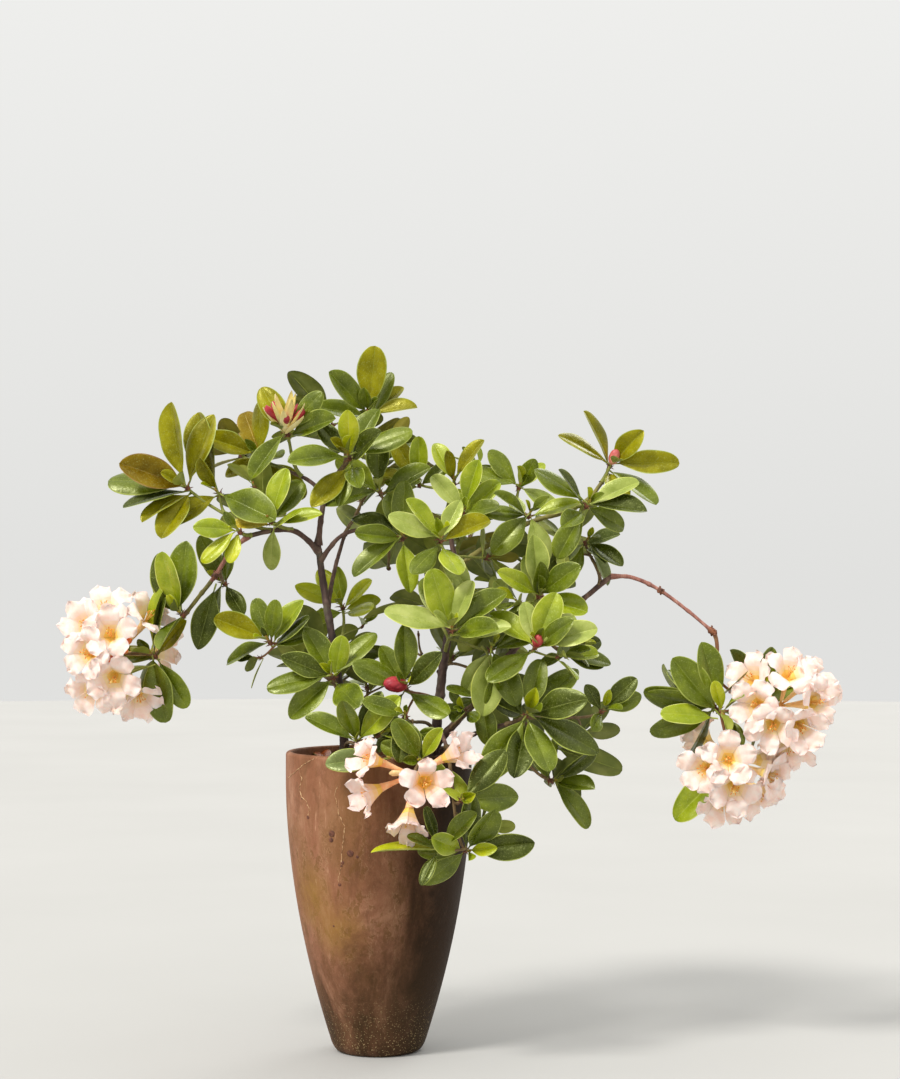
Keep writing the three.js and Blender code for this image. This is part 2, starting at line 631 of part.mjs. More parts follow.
// Whether a new shape keeps clear of the pot and of all that is placed outside its own twigs.
function isFree(shape, checked) {
  if (checked.some(inPot)) return false;
  return placed.every((other) => {
    if (other.mass !== shape.mass) return apart(shape, other);
    if (other.kind !== 'leaf' || shape.kind !== 'leaf') return true;
    return other.whorl === shape.whorl ? apart(shape.blade, other.blade) : apart(shape, other);
  });
}

// The direction in which a whorl's shoot ends: up, out from the crown's middle and, at the front, forwards.
function whorlAim(whorl) {
  if (whorl.aim) return vector(whorl.aim).normalize();
  const [x, y] = whorl.place;
  const outward = vector([x - CROWN.x, y - CROWN.y, 0]).multiplyScalar(AIM.out / CROWN.spread);
  return outward.add(vector([0, whorl.fan ? -AIM.front : 0, AIM.up])).normalize();
}

function addTwig(mass, line, foot, tip) {
  const radii = line.map((_, i) => foot + ((tip - foot) * i) / (line.length - 1));
  mass.twigs.push({ line, radii });
  placed.push(...lineShapes(line, radii, { mass: mass.name, kind: 'twig' }));
}

// A leaf is turned aside a little where it would touch something, and left out where that doesn't help.
function addLeaf(mass, whorl, order, directionOf, random) {
  const length = (whorl.leaf ?? mass.leaf) * (order < LEAF_LENGTH.first.length
    ? LEAF_LENGTH.first[order]
    : between(LEAF_LENGTH.others, random()));
  const roll = radians(LEAF.roll) * (random() - 0.5);
  const droop = between(LEAF.droop, random());
  const foot = whorl.tip.clone().addScaledVector(whorl.axis, -LEAF.spacing * order);
  for (const [turn, lift] of LEAF_TRIES) {
    const direction = directionOf(radians(turn), radians(lift));
    const normal = squareTo(whorl.axis, direction).applyAxisAngle(direction, roll);
    const root = foot.clone().addScaledVector(direction, -LEAF.root);
    const leaf = makeLeaf(root, direction, normal, length, droop);
    const shape = leafShape(leaf, { mass: mass.name, whorl: whorl.id, kind: 'leaf' });
    if (isFree(shape, leaf.points)) {
      placed.push(shape);
      mass.leaves.push(leaf);
      return;
    }
  }
}

// Leaves at listed angles in the view from the front, each leaning a seeded amount towards it or away.
function growFan(mass, whorl, random) {
  whorl.fan.forEach((degrees, order) => {
    const lean = radians(order === 0 ? LEAF.firstLean : between(LEAF.lean, random()));
    const towards = (turn, lift) => frontDirection(radians(degrees) + turn, lean + lift);
    addLeaf(mass, whorl, order, towards, random);
  });
}

// Leaves by the golden angle round the shoot, from one place in the whorl's order to another.
function growSpiral(mass, whorl, first, last, random) {
  const across = anySquare(whorl.axis);
  const start = random() * 2 * Math.PI;
  for (let order = first; order < last; order++) {
    const around = start + radians(WHORL.turn) * order;
    const rise = radians(between(WHORL.rise, random()));
    addLeaf(mass, whorl, order, (turn, lift) => {
      const side = across.clone().applyAxisAngle(whorl.axis, around + turn);
      return side.multiplyScalar(Math.sin(rise + lift)).addScaledVector(whorl.axis, Math.cos(rise + lift));
    }, random);
  }
}

function growWhorl(mass, whorl, random) {
  const listed = whorl.fan?.length ?? 0;
  if (listed) growFan(mass, whorl, random);
  growSpiral(mass, whorl, listed, listed ? listed + WHORL.extra : WHORL.leaves, random);
}

// A mass's stem, the twigs of its listed whorls and of its trusses, and the space of its eggs.
function growStems(mass) {
  const start = alongLine(limbs.get(mass.limb).line, mass.at);
  mass.whorls.forEach((whorl, i) => {
    const tip = vector(whorl.place);
    const axis = whorlAim(whorl);
    const from = i === 0 ? start : alongLine(mass.twigs[0].line, FORK_AT);
    const line = bentLine(from.point, from.direction, tip, axis);
    addTwig(mass, line, i === 0 ? TWIG.foot : TWIG.sideFoot, TWIG.tip);
    Object.assign(whorl, { id: `${mass.name}_${i}`, tip, axis });
  });
  for (const truss of mass.trusses ?? []) {
    const hub = vector(truss.hub);
    addTwig(mass, [mass.twigs[0].line.at(-1), hub], TWIG.sideFoot, TWIG.sideFoot);
    mass.hubs.push(hub);
  }
  for (const egg of massEggs(mass)) placed.push(eggShape(egg, { mass: mass.name, kind: 'egg' }));
}

// A side shoot's line: it leaves the stem towards the crown's hidden side.
function shootLine(mass, from, random) {
  const side = anySquare(from.direction).applyAxisAngle(from.direction, random() * 2 * Math.PI);
  const away = vector([0, mass.whorls[0].fan ? SHOOT.back : SHOOT.backOfBack, SHOOT.up]);
  const direction = from.direction.clone().multiplyScalar(SHOOT.along).add(side).add(away).normalize();
  const tip = from.point.clone().addScaledVector(direction, mass.leaf * between(SHOOT.length, random()));
  const axis = direction.clone().add(vector([0, 0, SHOOT.turnedUp])).normalize();
  return { line: bentLine(from.point, from.direction, tip, axis), tip, axis };
}

// Side shoots by the seeded rule: one that would touch something is tried again, then left out.
function growShoots(mass, random) {
  for (let i = 0; i < (mass.shoots ?? 0); i++) {
    const from = alongLine(mass.twigs[0].line, SHOOT.first + SHOOT.next * i);
    for (let attempt = 0; attempt < SHOOT_TRIES; attempt++) {
      const { line, tip, axis } = shootLine(mass, from, random);
      const radii = line.map(() => TWIG.sideFoot);
      const trial = lineShapes(line.slice(1), radii, { mass: mass.name, kind: 'twig' });
      if (!trial.every((shape) => isFree(shape, shape.points))) continue;
      addTwig(mass, line, TWIG.sideFoot, TWIG.sideTip);
      growWhorl(mass, { id: `${mass.name}_shoot_${i}`, tip, axis }, random);
      break;
    }
  }
}

// The direction of each flower of a truss and the way it faces: as listed, then by the golden angle behind.
function trussFlowers(truss) {
  const front = vector([0, -1, 0]);
  const listed = truss.faces.map(([angle, open]) => {
    const direction = frontDirection(radians(angle), radians(90 - open));
    return { direction, facing: direction.clone().lerp(front, FLOWER.turned).normalize() };
  });
  const hidden = Array.from({ length: truss.behind }, (_, i) => {
    const direction = frontDirection(radians(WHORL.turn * i), radians(-FLOWER.behind));
    return { direction, facing: direction };
  });
  return [...listed, ...hidden];
}

// A truss of flowers round its hub. A flower that would touch anything outside its mass is left out.
function growTruss(mass, truss, hub) {
  trussFlowers(truss).forEach(({ direction, facing }, i) => {
    const flower = makeFlower(hub, direction, facing, truss.reach, i);
    const shape = flowerShape(flower, hub, facing, { mass: mass.name, kind: 'flower' });
    if (!isFree(shape, flower.rim)) return;
    placed.push(shape);
    mass.flowers.push(flower);
  });
}

const masses = MASSES.map((row) => ({ ...row, twigs: [], leaves: [], flowers: [], hubs: [] }));
const generators = masses.map((_, i) => seeded(i + 1));
masses.forEach(growStems);
// The masses in bloom grow first, so that their flowers find room.
for (const blooming of [true, false]) {
  masses.forEach((mass, i) => {
    if (Boolean(mass.trusses) !== blooming) return;
    mass.whorls.forEach((whorl) => growWhorl(mass, whorl, generators[i]));
    mass.trusses?.forEach((truss, order) => growTruss(mass, truss, mass.hubs[order]));
  });
}
masses.forEach((mass, i) => growShoots(mass, generators[i]));

// Twigs, leaves, flowers and bud fused to one solid, cut clear of the limbs.
function fuseMass(mass) {
  const pieces = mass.twigs.map(({ line, radii }) => sweep(line, radii, TWIG_SIDES));
  for (const { points, faces } of [...mass.leaves, ...mass.flowers]) pieces.push(closedBody(points, faces));
  for (const egg of massEggs(mass)) pieces.push(makeEgg(egg));
  const fused = pieces.reduce((whole, piece) => whole.add(piece));
  return largestPiece(seated.reduce((whole, limb) => whole.subtract(limb), fused));
}

// The whole

const plant = new THREE.Group();

function addNode(name, geometry, material) {
  const mesh = new THREE.Mesh(geometry, material);
  mesh.name = name;
  plant.add(mesh);
}

addNode('pot', makePot(), MATERIALS.clay);
addNode('soil', makeSoil(), MATERIALS.soil);
for (const [name, limb] of limbs) addNode(name, toGeometry(limb.solid), MATERIALS.bark);
for (const mass of masses) addNode(`foliage_${mass.name}`, toGeometry(fuseMass(mass)), MATERIALS.foliage);

export default plant;
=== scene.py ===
# Potted vireya rhododendron: leaves, flowers, bark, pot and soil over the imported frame, light and camera.
# The plant grows in millimetres by the seeded rule that shaped its solids; its pieces are made in metres.

import json
import math

import bpy
import numpy as np
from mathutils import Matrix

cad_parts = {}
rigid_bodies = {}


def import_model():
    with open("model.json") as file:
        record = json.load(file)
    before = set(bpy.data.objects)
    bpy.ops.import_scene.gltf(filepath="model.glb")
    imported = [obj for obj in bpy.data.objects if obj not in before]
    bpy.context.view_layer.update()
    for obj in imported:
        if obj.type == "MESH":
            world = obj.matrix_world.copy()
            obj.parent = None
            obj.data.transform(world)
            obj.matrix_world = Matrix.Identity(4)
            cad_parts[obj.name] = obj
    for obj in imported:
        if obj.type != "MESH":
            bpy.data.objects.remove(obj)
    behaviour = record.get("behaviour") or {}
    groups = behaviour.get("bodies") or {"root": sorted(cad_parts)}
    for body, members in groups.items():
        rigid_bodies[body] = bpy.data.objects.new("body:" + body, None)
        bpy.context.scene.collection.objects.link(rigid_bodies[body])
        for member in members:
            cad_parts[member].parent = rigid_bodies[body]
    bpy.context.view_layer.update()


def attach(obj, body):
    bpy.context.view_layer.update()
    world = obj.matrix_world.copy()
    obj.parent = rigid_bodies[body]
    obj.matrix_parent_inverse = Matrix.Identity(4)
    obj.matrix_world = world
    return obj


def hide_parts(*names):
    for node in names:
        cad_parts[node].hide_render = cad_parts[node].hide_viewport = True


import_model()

MM = 0.001
TAU = 2 * math.pi

# Driving sizes, as in the solids
CLEARANCE = 0.5
POT = dict(height=386, rim=120.5, skirt=57, foot=50, flare_height=352, swell=1.85, wall=10)
SOIL_TOP = 368
TWIG = dict(foot=2.6, tip=1.7, side_foot=2.0, side_tip=1.5, step=40, hold=0.35, fine=24, straight=14)
ROOT_FLARE = dict(swell=1.2, fade=14)
LEAF = dict(
    width=0.41, thickness=0.026, thickest=0.16, droop=(0.028, 0.112), fold=0.03,
    root=2, spacing=3, roll=44, first_lean=8, lean=(-22, 38), first=(1, 0.94), others=(0.7, 0.98),
)
LEAF_OUTLINE = np.array([(0, 0), (0.42, -0.9), (0.78, -0.9), (1, 0), (0.78, 0.9), (0.42, 0.9)], dtype=float)
LEAF_TRIES = [(0, 0), (8, 12), (-8, -12), (14, -18), (-14, 18), (22, 26), (-22, -26)]
WHORL = dict(leaves=6, extra=1, rise=(49, 75), turn=137.5)
GOLDEN = math.radians(WHORL["turn"])
SHOOT = dict(
    tries=5, first=0.4, next=0.15, length=(0.75, 1.05), along=0.5, up=0.1, back=1.2, back_of_back=0.35,
    lift=0.5,
)
FORK_AT = 0.5
BUD_OUT = 0.42
FLOWER = dict(lobe=33, notch=18, flare=7, hub=12, turned=0.4, behind=35)
CROWN = dict(x=80, y=20, spread=300)
AIM = dict(out=0.6, front=0.95, up=0.75)

# Each limb: its bark, what it grows from and where along that, its radii and its path
LIMBS = [
    ("trunk_left", "trunk", None, 0, (5.8, 4.2), [(-41, -15, 358), (-43, -17, 384), (-48, -20, 455),
        (-59, -15, 530), (-71, -5, 595), (-79, 0, 653)]),
    ("trunk_right", "trunk", None, 0, (7.2, 4.0), [(68, 8, 358), (71, 9, 384), (79, 10, 451), (84, 6, 500),
        (93, 0, 550), (102, 0, 594), (100, 0, 631)]),
    ("bough_top", "bough", "trunk_left", 1, (3.9, 2.6), [(-76, -2, 680), (-71, -4, 715), (-58, -6, 740),
        (-36, 8, 768), (-24, 22, 796)]),
    ("bough_upper_left", "bough", "bough_top", 0.4, (3.0, 2.3), [(-90, 8, 738), (-118, 18, 750)]),
    ("bough_left", "bough", "trunk_left", 0.97, (3.8, 3.0), [(-104, -15, 672), (-132, -30, 673),
        (-166, -38, 664)]),
    ("bough_left_hanging", "pink", "bough_left", 1, (2.9, 2.3), [(-190, -34, 645), (-210, -24, 612),
        (-236, -28, 580), (-264, -34, 540)]),
    ("bough_inner", "bough", "trunk_left", 0.93, (3.2, 2.4), [(-50, -4, 668), (-20, -6, 674)]),
    ("bough_upper_middle", "bough", "trunk_right", 1, (3.6, 2.6), [(94, 6, 660), (90, 14, 700)]),
    ("bough_upper_right", "green", "trunk_right", 0.97, (3.6, 2.6), [(134, 2, 648), (171, 2, 670),
        (203, 2, 686), (243, -6, 695), (274, -8, 712), (290, 2, 734)]),
    ("bough_right", "bough", "trunk_right", 0.12, (5.4, 3.2), [(106, 6, 428), (135, 2, 464), (163, 0, 503),
        (192, 4, 534), (242, 5, 562), (284, 2, 598), (302, -2, 612)]),
    ("bough_arching", "pink", "bough_right", 1, (2.7, 2.1), [(328, -6, 613), (364, -15, 596),
        (402, -24, 566), (432, -30, 540)]),
    ("bough_low_right", "bough", "trunk_right", 0.05, (3.8, 2.6), [(104, -20, 400), (136, -44, 416),
        (164, -66, 424)]),
    ("bough_front", "bough", "trunk_right", 0.09, (3.6, 2.5), [(74, -48, 412), (80, -104, 420),
        (88, -136, 402)]),
    ("bough_back_left", "bough", "trunk_left", 0.72, (3.2, 2.3), [(-60, 40, 622), (-48, 78, 668)]),
    ("bough_back_middle", "bough", "trunk_right", 0.62, (3.4, 2.4), [(96, 50, 580), (102, 96, 616)]),
    ("bough_back_right", "bough", "bough_right", 0.5, (3.2, 2.3), [(196, 48, 556), (216, 92, 578)]),
    ("bough_back_low", "bough", "trunk_right", 0.25, (3.2, 2.3), [(80, 60, 462), (78, 100, 484)]),
]

# Each mass of foliage: its limb and where along it, the length of its leaves, their tints in turn, the colour
# of its twigs, how many shoots it has, and its whorls: place, angles of the leaves, and what sets it apart
MASSES = [
    ("far_left", "bough_left", 0.72, 110, "olive mid olive brown dark olive", "green", 0, [
        ((-250, -25, 730), (103, 170, 72, 148, 190, 241)), ((-209, -14, 722), (118, 327))]),
    ("left_shoulder", "bough_left", 0.45, 76, "bright pale bright mid bright yellow pale", "green", 1, [
        ((-139, -55, 686), (158, 127, 84, 65, 12, 190, 262))]),
    ("left_elbow", "bough_left", 0.97, 64, "young bright young mid", "green", 0, [
        ((-178, -62, 672), (219, 174, 250))]),
    ("left_hanging", "bough_left_hanging", 0.36, 76, "dark mid dark mid", "brown", 0, [
        ((-204, 4, 606), (252, 117, 304, 90))]),
    ("left_outer", "bough_left_hanging", 0.8, 94, "mid bright mid mid dark", "brown", 0, [
        ((-252, -58, 566), (84, 107, 232, 130))]),
    ("left_bloom", "bough_left_hanging", 1, 92, "mid dark mid olive mid", "brown", 0, [
        ((-290, -38, 513), (280, 80, 250, 50, 300))]),
    ("left_inner", "trunk_left", 0.56, 76, "olive mid mid mid bright mid dark", "red", 0, [
        ((-139, -60, 531), (156, 206, 109, 84, 57, 19))]),
    ("stem_high", "trunk_left", 0.4, 68, "young young bright young young bright", "green", 1, [
        ((-51, 45, 575), (157, 123, 96, 48, 19, 194))]),
    ("stem_low", "trunk_left", 0.28, 86, "mid mid dark mid mid bright", "brown", 1, [
        ((-57, -70, 487), (187, 47, 159, 219, 117, 75))]),
    ("stem_foot", "trunk_left", 0.1, 80, "bright mid mid dark mid dark", "brown", 0, [
        ((-24, -104, 406), (44, 152, 98, 67, 240))]),
    ("low_bud", "trunk_right", 0.3, 80, "mid mid dark mid mid", "red", 0, [
        ((36, -75, 474), (90, 153, 45, 236, 120))]),
    ("crown_left", "bough_upper_left", 1, 80, "olive olive brown olive olive mid", "green", 1, [
        ((-159, 30, 772), (160, 90, 111, 200, 320))]),
    ("crown_bud", "bough_upper_left", 0.7, 78, "mid mid olive mid mid", "green", 0, [
        ((-120, -20, 800), (232, 50, 117, 20))]),
    ("crown_front", "bough_top", 0.6, 90, "mid mid dark young mid dark mid olive", "brown", 1, [
        ((-38, -40, 768), (22, 180, 140, 90, 68, 37, 252, 220))]),
    ("crown_top", "bough_top", 1, 90, "olive mid olive mid olive mid", "red", 0, [
        ((-15, 30, 828), (82, 134, 15, 169, 50)), ((-28, 92, 786),)]),
    ("inner", "bough_inner", 1, 84, "mid dark mid bright mid", "brown", 1, [
        ((31, -30, 665), (220, 157, 175, 279, 108)), ((1, 10, 725), (192, 95, 24, 140))]),
    ("upper_middle", "bough_upper_middle", 1, 68, "olive bright olive mid bright", "green", 1, [
        ((98, 20, 738), (58, 117, 90, 20)), ((52, 45, 738), (130, 76, 170, 40))]),
    ("middle_high", "bough_upper_middle", 0.55, 70, "bright pale mid bright", "green", 0, [
        ((110, -20, 698), (73, 129, 11, 40))]),
    ("middle_front", "trunk_right", 0.9, 74, "pale bright pale olive mid pale bright", "green", 1, [
        ((81, -75, 661), (157, 123, 63, 27, 224, 300))]),
    ("upper_right_inner", "bough_upper_right", 0.32, 74, "mid pale mid bright mid", "green", 0, [
        ((184, 15, 732), (163, 330, 119, 46, 63, 206)), ((196, -28, 694), (225, 290, 170, 20))]),
    ("upper_right", "bough_upper_right", 0.78, 84, "mid dark pale mid dark mid", "green", 1, [
        ((270, -46, 706), (145, 358, 26, 335, 123, 239))]),
    ("top_right", "bough_upper_right", 1, 90, "olive olive olive olive mid olive", "green", 0, [
        ((304, 10, 760), (1, 146, 112, 50, 323))]),
    ("right_shoulder", "bough_right", 0.94, 68, "grey dark grey mid grey", "brown", 0, [
        ((272, 15, 660), (305, 328, 210, 240, 20))]),
    ("right_middle", "bough_right", 0.68, 78, "pale bright mid mid bright mid", "green", 1, [
        ((208, -35, 590), (98, 149, 41, 219, 348, 75))]),
    ("right_knee", "bough_right", 0.6, 60, "mid dark mid", "brown", 0, [
        ((248, 36, 512), (349, 20, 200))]),
    ("right_bud", "bough_right", 0.4, 82, "pale bright pale bright mid mid", "green", 0, [
        ((201, -95, 526), (17, 144, 102, 69, 34, 206))]),
    ("middle", "trunk_right", 0.56, 90, "pale mid pale mid bright mid pale", "green", 1, [
        ((95, -95, 547), (161, 124, 70, 38, 107, 5)), ((145, -70, 522), (265, 290, 245))]),
    ("middle_low", "bough_right", 0.08, 68, "mid dark mid mid", "brown", 0, [
        ((131, -64, 462), (281, 323, 140, 200))]),
    ("centre_low", "trunk_right", 0.16, 64, "dark mid dark mid", "brown", 0, [
        ((37, -118, 440), (255, 150, 290, 200))]),
    ("low_right", "bough_low_right", 1, 104, "dark mid dark mid mid dark mid", "brown", 1, [
        ((190, -95, 440), (333, 236, 21, 295, 83, 138, 45)),
        ((288, -58, 443), (46, 20, 120), dict(leaf=60))]),
    ("lowest_right", "bough_low_right", 0.75, 76, "mid dark mid mid", "brown", 0, [
        ((226, -52, 352), (310, 31, 353, 110), dict(aim=(0.6, -0.6, 0.1)))]),
    ("pot_front", "bough_front", 1, 84, "dark mid mid dark mid bright", "brown", 0, [
        ((115, -166, 276), (8, 51, 223, 80, 178), dict(aim=(0.4, -0.9, 0.1))),
        ((108, -168, 338), (34, 350, 300), dict(aim=(0.2, -1, 0.2)))]),
    ("front_bloom", "bough_front", 0.72, 62, "mid bright mid", "brown", 0, [
        ((56, -132, 384), (120, 60, 160), dict(aim=(-0.3, -0.9, 0.1)))]),
    ("right_bloom", "bough_arching", 1, 96, "mid dark mid mid dark mid", "red", 0, [
        ((440, -35, 438), (104, 136, 199, 171, 246, 160), dict(aim=(0.6, -0.5, -0.4))),
        ((486, 4, 462), (22, 114, 60), dict(leaf=72))]),
    ("back_left", "bough_back_left", 1, 84, "mid bright olive mid dark mid", "brown", 2, [
        ((-30, 124, 724),)]),
    ("back_middle", "bough_back_middle", 1, 86, "mid pale mid olive mid bright", "green", 3, [
        ((104, 138, 684),)]),
    ("back_right", "bough_back_right", 1, 86, "mid dark mid bright mid mid", "red", 3, [
        ((212, 138, 630),)]),
    ("back_low", "bough_back_low", 1, 86, "dark mid mid dark mid", "brown", 2, [
        ((96, 150, 508),)]),
    ("back_foot", "trunk_left", 0.2, 80, "mid bright dark mid mid", "brown", 1, [
        ((-20, 90, 470),)]),
]

# Flower clusters: the hub, how far the flowers reach, how many point back, and each one's angle and lean
TRUSSES = dict(
    left_bloom=[
        dict(hub=(-332, -44, 513), reach=70, behind=3, faces=[(95, 26), (176, 29), (274, 29), (105, 80),
            (50, 85), (238, 60), (298, 80), (134, 57)]),
    ],
    front_bloom=[
        dict(hub=(47, -160, 368), reach=64, behind=0, faces=[(342, 18), (158, 75), (202, 80), (264, 70),
            (28, 80)]),
    ],
    right_bloom=[
        dict(hub=(454, -30, 374), reach=62, behind=2, faces=[(146, 13), (190, 46), (268, 34), (310, 75),
            (254, 75), (341, 75)]),
        dict(hub=(516, -34, 446), reach=62, behind=3, faces=[(137, 75), (78, 56), (175, 42), (236, 31),
            (311, 36), (9, 53), (281, 80), (41, 75)]),
    ],
)
# Large buds: where each points, its length and its width
BUDS = dict(
    low_bud=((-0.85, -0.3, 0.1), 31, 19),
    crown_bud=((0.05, -0.4, 0.9), 48, 26),
    top_right=((0.3, -0.3, 0.8), 22, 13),
    right_bud=((0.2, -0.75, 0.6), 20, 13),
)

# Numbers and directions


def seeded(seed):
    """A repeatable run of numbers from 0 to 1."""
    state = seed * 7919 + 17

    def draw():
        nonlocal state
        state = state * 48271 % 2147483647
        return state / 2147483647

    return draw


def vector(*xyz):
    return np.array(xyz, dtype=float)


UP = vector(0, 0, 1)
FRONT = vector(0, -1, 0)


def unit(v):
    return v / math.sqrt(v @ v)


def between(limits, share):
    return limits[0] + (limits[1] - limits[0]) * share


def square_to(direction, axis):
    return unit(direction - axis * (direction @ axis))


def any_square(axis):
    return square_to(UP if abs(axis[2]) < 0.9 else vector(1, 0, 0), axis)


def square_pair(axis):
    across = any_square(axis)
    return across, np.cross(axis, across)


def circle(count):
    """Even angles once round."""
    return np.arange(count) / count * TAU


def turned(v, axis, angle):
    """A vector turned about a unit axis."""
    c = math.cos(angle)
    s = math.sin(angle)
    return v * c + np.cross(axis, v) * s + axis * ((axis @ v) * (1 - c))


def front_direction(angle, lean):
    """The unit vector at an angle in the view from the front, leaning towards that view."""
    flat = math.cos(lean)
    return vector(math.cos(angle) * flat, -math.sin(lean), math.sin(angle) * flat)


# Lines


def cut_corners(points):
    """Each inner corner is replaced by two points a quarter of the way to its neighbours."""
    points = np.asarray(points, dtype=float)
    before = points[1:-1] * 0.75 + points[:-2] * 0.25
    after = points[1:-1] * 0.75 + points[2:] * 0.25
    inner = np.stack([before, after], axis=1).reshape(-1, 3)
    return np.concatenate([points[:1], inner, points[-1:]])


def distances(line):
    steps = np.linalg.norm(np.diff(line, axis=0), axis=1)
    return np.concatenate([[0], np.cumsum(steps)])


def along_line(line, share):
    """The point and direction at a share of a line's length."""
    run = distances(line)
    goal = share * run[-1]
    i = 1
    while i < len(line) - 1 and run[i] < goal:
        i += 1
    direction = unit(line[i] - line[i - 1])
    return line[i - 1] + direction * (goal - run[i - 1]), direction


def bezier(corners, steps):
    t = np.linspace(0, 1, steps + 1)[:, None]
    a, b, c, d = corners
    return (1 - t) ** 3 * a + 3 * (1 - t) ** 2 * t * b + 3 * (1 - t) * t**2 * c + t**3 * d


def bent_corners(start, start_direction, end, end_direction):
    """The curve of a twig, which leaves its limb half along it and arrives in the whorl's direction."""
    span = np.linalg.norm(end - start)
    leave = unit(unit(end - start) + start_direction)
    hold = span * TWIG["hold"]
    return [start, start + leave * hold, end - end_direction * hold, end]


def coarse_line(corners):
    span = np.linalg.norm(corners[3] - corners[0])
    return bezier(corners, max(2, math.floor(span / TWIG["step"] + 0.5)))


# Space test


def make_shape(points, normals, edges, radius, **owner):
    """A small convex set: its corner points, face directions and edges, with a radius round it."""
    points = np.array(points, dtype=float)
    centre = points.mean(axis=0)
    return dict(
        points=points,
        normals=np.array(normals, dtype=float).reshape(-1, 3),
        edges=np.array(edges, dtype=float).reshape(-1, 3),
        radius=radius,
        centre=centre,
        bound=np.linalg.norm(points - centre, axis=1).max() + radius,
        **owner,
    )


def apart(a, b):
    """Whether some direction shows two shapes apart by more than their radii and the clearance."""
    need = a["radius"] + b["radius"] + CLEARANCE
    across = a["centre"] - b["centre"]
    if np.linalg.norm(across) > a["bound"] + b["bound"] + CLEARANCE:
        return True
    crosses = np.cross(a["edges"][:, None, :], b["edges"][None, :, :]).reshape(-1, 3)
    axes = np.vstack([across, a["normals"], b["normals"], crosses])
    lengths = np.linalg.norm(axes, axis=1)
    axes = axes[lengths > 1e-6] / lengths[lengths > 1e-6, None]
    on_a = axes @ a["points"].T
    on_b = axes @ b["points"].T
    gaps = np.maximum(on_b.min(axis=1) - on_a.max(axis=1), on_a.min(axis=1) - on_b.max(axis=1))
    return bool((gaps > need).any())


def line_shapes(line, radii, **owner):
    return [
        make_shape([line[i], line[i + 1]], [], [line[i + 1] - line[i]], max(radii[i], radii[i + 1]), **owner)
        for i in range(len(line) - 1)
    ]


def pot_radius(z):
    below = np.maximum(0, 1 - z / POT["flare_height"])
    return POT["rim"] - (POT["rim"] - POT["skirt"]) * below ** POT["swell"]


def in_pot(points):
    """Whether any point lies in the pot or in the space over its soil."""
    radius = np.hypot(points[:, 0], points[:, 1])
    low = points[:, 2] < POT["height"] + CLEARANCE
    return bool((low & (radius < pot_radius(points[:, 2]) + CLEARANCE)).any())


MOST_SHAPES = 3000
placed = []
placed_centres = np.zeros((MOST_SHAPES, 3))
placed_bounds = np.zeros(MOST_SHAPES)


def place(*shapes):
    for shape in shapes:
        placed_centres[len(placed)] = shape["centre"]
        placed_bounds[len(placed)] = shape["bound"]
        placed.append(shape)


def is_free(shape, checked):
    """Whether a new shape keeps clear of the pot and of all that is placed outside its own twigs."""
    if in_pot(checked):
        return False
    count = len(placed)
    reach = np.linalg.norm(placed_centres[:count] - shape["centre"], axis=1)
    for i in np.nonzero(reach <= placed_bounds[:count] + shape["bound"] + CLEARANCE)[0]:
        other = placed[i]
        if other["mass"] != shape["mass"]:
            if not apart(shape, other):
                return False
        elif other["kind"] == "leaf" and shape["kind"] == "leaf":
            same = other["whorl"] == shape["whorl"]
            if not (apart(shape["blade"], other["blade"]) if same else apart(shape, other)):
                return False
    return True


def all_free(shapes):
    return all(is_free(shape, shape["points"]) for shape in shapes)


# Limbs

limbs = {}
for name, bark, parent, at, radii, path in LIMBS:
    points = [vector(*point) for point in path]
    if parent:
        points.insert(0, along_line(limbs[parent]["line"], at)[0])
    line = cut_corners(points)
    run = distances(line)
    sizes = radii[0] + (radii[1] - radii[0]) * run / run[-1]
    if not parent:
        sizes = sizes * (1 + ROOT_FLARE["swell"] * np.exp(-run / ROOT_FLARE["fade"]))
    limbs[name] = dict(bark=bark, parent=parent, line=line, radii=sizes)
    place(*line_shapes(line, sizes, mass=None, kind="limb"))


# Leaves and flowers as the rule places them


def leaf_at(leaf, share, side, lift):
    """Points of a leaf at shares of its length and of half its width, raised by a lift."""
    share, side, lift = (np.asarray(values, dtype=float)[..., None] for values in (share, side, lift))
    length = leaf["length"]
    raised = lift + np.abs(side) * LEAF["fold"] * length - leaf["droop"] * length * share**2
    return (
        leaf["root"]
        + leaf["direction"] * share * length
        + leaf["across"] * side * (LEAF["width"] * length / 2)
        + leaf["normal"] * raised
    )


def make_leaf(root, direction, normal, length, droop, order=0):
    leaf = dict(root=root, direction=direction, normal=normal, length=length, droop=droop, order=order)
    leaf["across"] = np.cross(normal, direction)
    outline = leaf_at(leaf, LEAF_OUTLINE[:, 0], LEAF_OUTLINE[:, 1], np.zeros(len(LEAF_OUTLINE)))
    half = LEAF["thickness"] * length / 2
    ridge = leaf_at(leaf, [LEAF["thickest"]] * 2, [0, 0], [half, -half])
    leaf["points"] = np.concatenate([outline, ridge])
    return leaf


def leaf_shape(leaf, mass, whorl):
    points = leaf["points"]
    corners = len(LEAF_OUTLINE)
    edges = np.roll(points[:corners], -1, axis=0) - points[:corners]
    owner = dict(mass=mass, whorl=whorl, kind="leaf")
    blade = make_shape(points[1:corners], [leaf["normal"]], edges[1:-1], 0, **owner)
    return make_shape(points, [leaf["normal"]], edges, 0, blade=blade, **owner)


def star_ring(centre, axis, radii, turn):
    across, up = square_pair(axis)
    angles = turn + circle(len(radii))
    radii = np.asarray(radii, dtype=float)
    return centre + np.outer(radii * np.cos(angles), across) + np.outer(radii * np.sin(angles), up)


